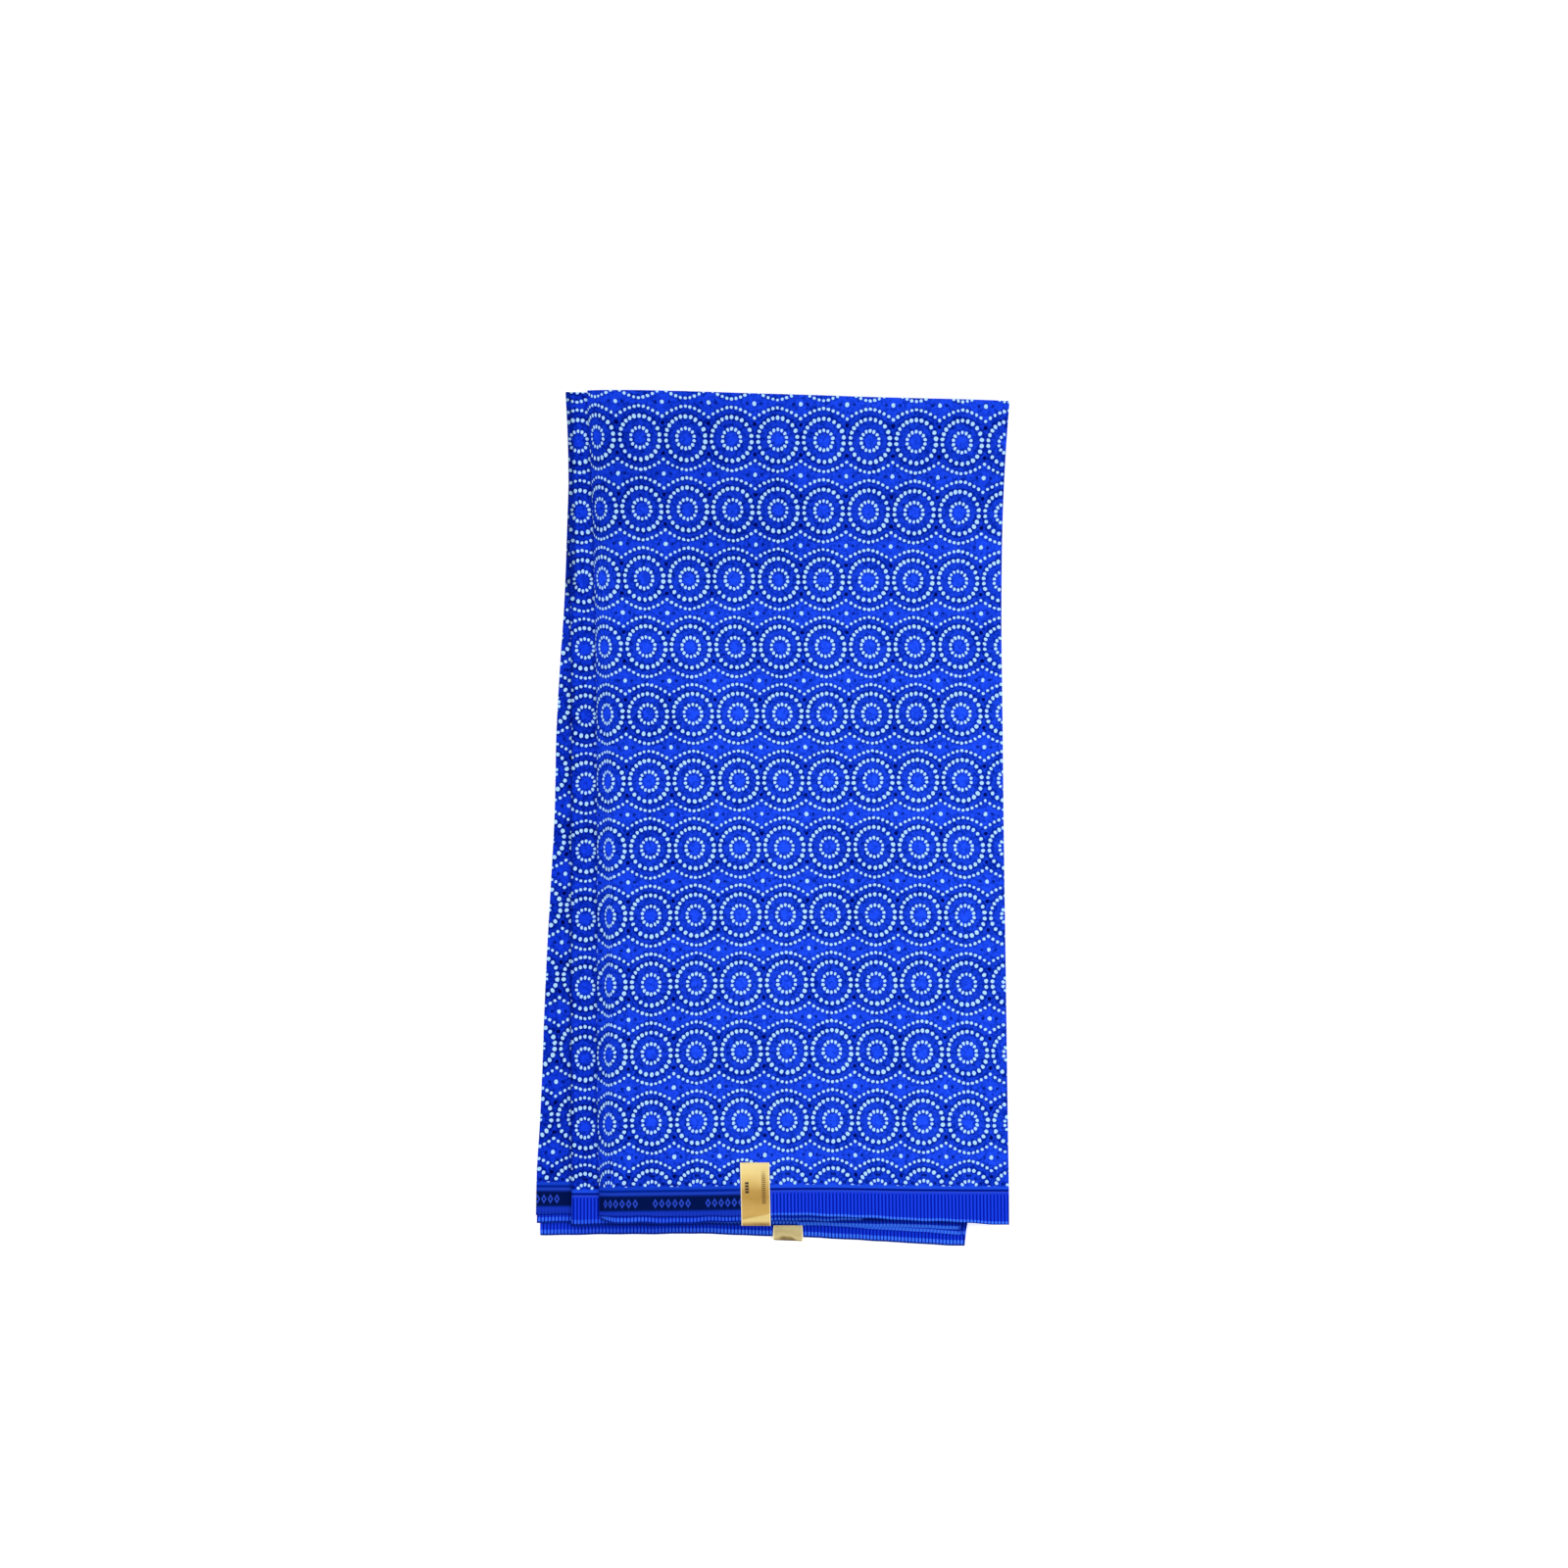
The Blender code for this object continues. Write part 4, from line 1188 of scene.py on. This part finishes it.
def printed_cotton():
    """The cotton: its print and selvedge on the cloth's own map, darkened by its painted shade,
    with a plain weave as bump.
    """
    found = bpy.data.materials.get("dotted_cotton")
    if found:
        return found
    scene = bpy.context.scene
    paint = Paint("dotted_cotton")
    across, along, place = paint.uv("print")
    trim, to_edge, _ = paint.uv("hem")
    dye, painted_shade, _ = paint.uv("dye")
    pattern = ring_print(paint, place, across, along, dye, scene.cotton_colours)
    edge = selvedge(paint, across, along, trim, to_edge)
    colour = paint.scaled(paint.mix(along.fade(*PRINT_ENDS), pattern, edge), 1 - painted_shade)
    turns = 2 * np.pi / scene.cotton_sizes.thread
    warp, weft = (across * turns).math("SINE"), (along * turns).math("SINE")
    height = warp * weft * WEAVE + paint.noise(place, FUZZ) * FUZZ.strength
    return paint.done({
        "Base Color": colour,
        "Normal": paint.bump(height, *WEAVE_BUMP),
        "Roughness": 0.62,
        "Specular IOR Level": 0.0,
    })


def barred(paint, colour, across, up, bars):
    """A colour with a column of plain bars over it."""
    bar = (up / (bars.pitch * MM)).math("FRACT").math("PINGPONG", 0.5).fade(*bars.bar)
    starts, ends, side = (
        [value * MM for value in edge] for edge in (bars.starts, bars.ends, bars.side)
    )
    column = abs(across - bars.aside * MM).fade(*side) * up.fade(*starts) * up.fade(*ends)
    return paint.mix(bar * column * bars.strength, colour, bars.colour)


def gold_foil():
    """Bare gold foil: a satin metal in the gold, painted reflections and painted shade of its
    table, with a painted highlight below a slanted soft crease and along its edges, with a few
    plain bars and faint wrinkles."""
    found = bpy.data.materials.get("label_foil")
    if found:
        return found
    colours = bpy.context.scene.cotton_colours
    paint = Paint("label_foil")
    across, up, place = paint.uv("foil")
    cloudy = up + paint.noise(place, CLOUD) * (CLOUD.strength * MM)
    colour = toned(paint, FOIL_GOLD_AND_REFLECTIONS, "up", cloudy, 0, FOIL_SPAN)
    lit = (up - across * FOIL_CREASE_SLANT).fade(*FOIL_CREASE) * up.fade(*FOIL_END_DARK)
    colour = paint.mix(lit * FOIL_CREASE_LIT, colour, (*colours.highlight_gold, 1.0))
    for bars in (TICKS, BLOCKS):
        colour = barred(paint, colour, across, up, bars)
    colour = paint.mix(abs(across).fade(*FOIL_RIM) * FOIL_RIM_LIT, colour, FOIL_RIM_COLOUR)
    return paint.done({
        "Base Color": colour,
        "Normal": paint.bump(paint.noise(place, WRINKLE), *WRINKLE_BUMP),
        "Metallic": 0.35,
        "Roughness": 0.38,
    })


def label_across(middle, stations):
    """Places across a label, from its left edge to its right one."""
    return (middle + np.linspace(-0.5, 0.5, stations) * LABEL_WIDTH)[:, None]


def label_shell(name, node, x, y, z, lean, tones_from):
    """A foil strip: a surface across and along its path, leaned a little, with thickness. Its
    map holds the distance from its middle and the way up its tones from its lower end."""
    sizes = bpy.context.scene.cotton_sizes
    way = way_along(y, z, axis=1)
    centre = (x[0] + x[-1]) / 2
    maps = {"foil": pairs(x - centre, way[:, -1:] - way + tones_from)}
    middle = np.stack([x - lean * (y - y[:, :1]), y, z], axis=2)
    foil = shell(name, middle, sizes.foil, maps, gold_foil())
    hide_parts(node)
    return foil


def make_front_label():
    """The front label: it lies on the front cloth, bends over the outer hem and turns round
    the inner one in a half circle."""
    start = -242.7 * MM
    lift, radius = 0.22 * MM, 0.75 * MM
    hem_step, hem_from, hem_to = 0.45 * MM, 1.5 * MM, -2.5 * MM
    curled = 0.25 * MM
    x = label_across(FRONT_LABEL_AT, 15)
    hem = FRONT.hem(x)
    centre = LABELS_MEET + radius
    run = np.linspace(start, centre, 60)[None] + 0 * x
    step = hem_step * rise(run - hem, hem_from, hem_to)
    curl = curled * ((x - FRONT_LABEL_AT) / (LABEL_WIDTH / 2)) ** 2
    over = wrap_top(x, np.maximum(run, hem)) + creased(x, run) + lift - step + curl
    turn = np.linspace(0, np.pi, 13)[None, 1:]
    y_turn = centre - radius * np.sin(turn) + 0 * x
    z_turn = over[:, -1:] - radius + radius * np.cos(turn)
    back = np.linspace(0.4, 5.0, 6)[None] * MM
    y = np.concatenate([run, y_turn, centre + back + 0 * x], axis=1)
    z = np.concatenate([over, z_turn, z_turn[:, -1:] + 0 * back], axis=1)
    return label_shell("front_foil", "front_label", x + 0 * y, y, z, LABEL_LEAN, -FOIL_TURNED)


def make_lower_label():
    """The lower label: it lies on the base leaf, bends over its hem and slopes down and out to
    the surface, a little wider there."""
    lift, bend, slope = 0.45 * MM, 1.0 * MM, np.radians(52)
    hem_shy, foot = 0.3 * MM, 0.35 * MM
    widens, widens_over = 0.05, 10 * MM
    x = label_across(LOWER_LABEL_AT, 13)
    edge = BASE.hem(x) - hem_shy
    level = LEAF + lift
    run = between(0 * x[:, 0] + LABELS_MEET, edge[:, 0], np.linspace(0, 1, 12)).T
    turn = np.linspace(0, slope, 6)[None, 1:]
    y_turn = edge - bend * np.sin(turn)
    z_turn = level - bend + bend * np.cos(turn) + 0 * x
    drop = np.linspace(0, z_turn[0, -1] - foot, 6)[None, 1:] + 0 * x
    y = np.concatenate([run, y_turn, y_turn[:, -1:] - drop / np.tan(slope)], axis=1)
    z = np.concatenate([0 * run + level, z_turn, z_turn[:, -1:] - drop], axis=1)
    wider = 1 + widens * rise(LABELS_MEET - y, 0, widens_over)
    x = LOWER_LABEL_AT + (x - LOWER_LABEL_AT) * wider
    return label_shell("lower_foil", "lower_label", x, y, z, 0.0, LOWER_TONES_FROM)


def length(name, description, default):
    """A length that a user may change."""
    return FloatProperty(name=name, description=description, default=default, unit="LENGTH")


def colour_of(name, description, colour):
    """A colour that a user may change."""
    return FloatVectorProperty(
        name=name, description=description, default=colour[:3], subtype="COLOR"
    )


class CottonSizes(bpy.types.PropertyGroup):
    """Sizes of the cloth and the labels."""

    ply: length("Ply", "Thickness of one ply of the cotton", 0.3 * MM)
    gap: length("Gap", "From the middle of a doubled cloth to the middle of a ply", 0.42 * MM)
    thread: length("Thread", "Pitch of the weave's threads", 0.5 * MM)
    foil: length("Foil", "Thickness of the foil labels", 0.16 * MM)


class CottonColours(bpy.types.PropertyGroup):
    """Colours of the print and the labels."""

    light_blue: colour_of("Light blue", "The ground where its dye is thinnest", tone(31, 79, 253))
    deep_blue: colour_of("Deep blue", "The ground where its dye is deepest", tone(0, 30, 150))
    navy: colour_of("Navy", "The small dark spots", tone(0, 8, 86))
    spot: colour_of("Spots", "The pale spots", tone(171, 216, 253))
    # The painted highlight below the foil's crease
    highlight_gold: colour_of("Pale gold", "The foil below its crease", tone(236, 212, 138))


class CottonStage(bpy.types.PropertyGroup):
    """The floor, the lights and the camera."""

    lens: FloatProperty(
        name="Lens", description="Focal length of the camera", default=300.0, min=1.0,
    )
    view_width: length("View width", "How much of the surface the picture shows", 1.104)
    key: FloatProperty(name="Key", description="Power of the key light in watts", default=11.0)
    fill: FloatProperty(name="Fill", description="Power of the fill light in watts", default=17.0)
    sky: FloatProperty(name="Sky", description="Strength of the world's white", default=0.72)
    glow: FloatProperty(name="Glow", description="Light that the floor gives off", default=0.40)
    floor: colour_of("Floor", "The surface that the cloth lies on", (0.95, 0.95, 0.95))


class COTTON_OT_front_cloth(bpy.types.Operator):
    """Makes the cloth on top, which wraps round the pack."""

    bl_idname = "cotton.front_cloth"
    bl_label = "Front cloth"

    def execute(self, context):
        make_front_cloth()
        return {"FINISHED"}


class COTTON_OT_inner_panels(bpy.types.Operator):
    """Makes the panels folded inside the wrap."""

    bl_idname = "cotton.inner_panels"
    bl_label = "Inner panels"

    def execute(self, context):
        make_inner_panels()
        return {"FINISHED"}


class COTTON_OT_leaves(bpy.types.Operator):
    """Makes the three leaves that reach out from under the wrap."""

    bl_idname = "cotton.leaves"
    bl_label = "Leaves"

    def execute(self, context):
        second, third, base = (make_leaf(leaf) for leaf in LEAVES)
        return {"FINISHED"}


class COTTON_OT_labels(bpy.types.Operator):
    """Makes the two foil labels."""

    bl_idname = "cotton.labels"
    bl_label = "Foil labels"

    def execute(self, context):
        make_front_label()
        make_lower_label()
        return {"FINISHED"}


# The stage: what the camera and the lights are turned to, the floor, and the lights' places
LOOKED_AT = (7.9 * MM, 23.6 * MM, 12.0 * MM)
FLOOR_REACH = 6.0
KEY_SIZE, KEY_PLACE = 0.9, (1.0, -0.15, 1.5)
FILL_SIZE, FILL_PLACE = 2.0, (-1.4, 0.8, 2.0)
WHITE = (1.0, 1.0, 1.0, 1.0)


def soft_light(name, power, size, place):
    """A square area light at a place, turned to the cloth."""
    data = bpy.data.lights.new(name, "AREA")
    data.energy = power
    data.size = size
    light = bpy.data.objects.new(name, data)
    light.location = place
    away = np.array(place) - np.array(LOOKED_AT)
    tilt = np.arctan2(np.hypot(away[0], away[1]), away[2])
    light.rotation_euler = (tilt, 0.0, np.arctan2(away[0], -away[1]))
    bpy.context.scene.collection.objects.link(light)


def make_floor(stage):
    """A wide white floor that gives off a little light of its own."""
    low, high = -FLOOR_REACH, FLOOR_REACH
    corners = [(low, low, 0), (high, low, 0), (high, high, 0), (low, high, 0)]
    mesh = bpy.data.meshes.new("floor")
    mesh.from_pydata(corners, [], [(0, 1, 2, 3)])
    mesh.materials.append(Paint("floor").done({
        "Base Color": (*stage.floor, 1.0),
        "Roughness": 0.9,
        "Specular IOR Level": 0.0,
        "Emission Color": WHITE,
        "Emission Strength": stage.glow,
    }))
    floor = bpy.data.objects.new("floor", mesh)
    bpy.context.scene.collection.objects.link(floor)


class COTTON_OT_stage(bpy.types.Operator):
    """Makes the floor, the lights and the camera that looks straight down."""

    bl_idname = "cotton.stage"
    bl_label = "Stage"

    def execute(self, context):
        scene = context.scene
        stage = scene.cotton_stage
        make_floor(stage)
        soft_light("key", stage.key, KEY_SIZE, KEY_PLACE)
        soft_light("fill", stage.fill, FILL_SIZE, FILL_PLACE)
        scene.world = bpy.data.worlds.new("white")
        scene.world.use_nodes = True
        sky = scene.world.node_tree.nodes["Background"]
        sky.inputs["Color"].default_value = WHITE
        sky.inputs["Strength"].default_value = stage.sky
        camera = bpy.data.cameras.new("camera")
        camera.lens = stage.lens
        seen = bpy.data.objects.new("camera", camera)
        distance = stage.view_width * stage.lens / camera.sensor_width
        seen.location = (LOOKED_AT[0], LOOKED_AT[1], LOOKED_AT[2] + distance)
        scene.collection.objects.link(seen)
        scene.camera = seen
        scene.view_settings.view_transform = "Standard"
        return {"FINISHED"}


class COTTON_PT_pieces(bpy.types.Panel):
    """Lists the pieces in the 3D view's sidebar."""

    bl_idname = "COTTON_PT_pieces"
    bl_label = "Folded cotton length"
    bl_space_type = "VIEW_3D"
    bl_region_type = "UI"
    bl_category = "Cotton"

    def draw(self, context):
        scene = context.scene
        for group in (scene.cotton_sizes, scene.cotton_colours, scene.cotton_stage):
            for name in group.__annotations__:
                self.layout.prop(group, name)
        for operator in OPERATORS:
            self.layout.operator(operator.bl_idname)


OPERATORS = (
    COTTON_OT_front_cloth,
    COTTON_OT_inner_panels,
    COTTON_OT_leaves,
    COTTON_OT_labels,
    COTTON_OT_stage,
)
CLASSES = (CottonSizes, CottonColours, CottonStage, *OPERATORS, COTTON_PT_pieces)


def register():
    for cls in CLASSES:
        bpy.utils.register_class(cls)
    bpy.types.Scene.cotton_sizes = PointerProperty(type=CottonSizes)
    bpy.types.Scene.cotton_colours = PointerProperty(type=CottonColours)
    bpy.types.Scene.cotton_stage = PointerProperty(type=CottonStage)


def unregister():
    del bpy.types.Scene.cotton_sizes
    del bpy.types.Scene.cotton_colours
    del bpy.types.Scene.cotton_stage
    for cls in reversed(CLASSES):
        bpy.utils.unregister_class(cls)


def main():
    """Registers the add-on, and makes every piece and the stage."""
    register()
    bpy.ops.cotton.inner_panels()
    bpy.ops.cotton.leaves()
    bpy.ops.cotton.front_cloth()
    bpy.ops.cotton.labels()
    bpy.ops.cotton.stage()


if __name__ == "__main__":
    main()
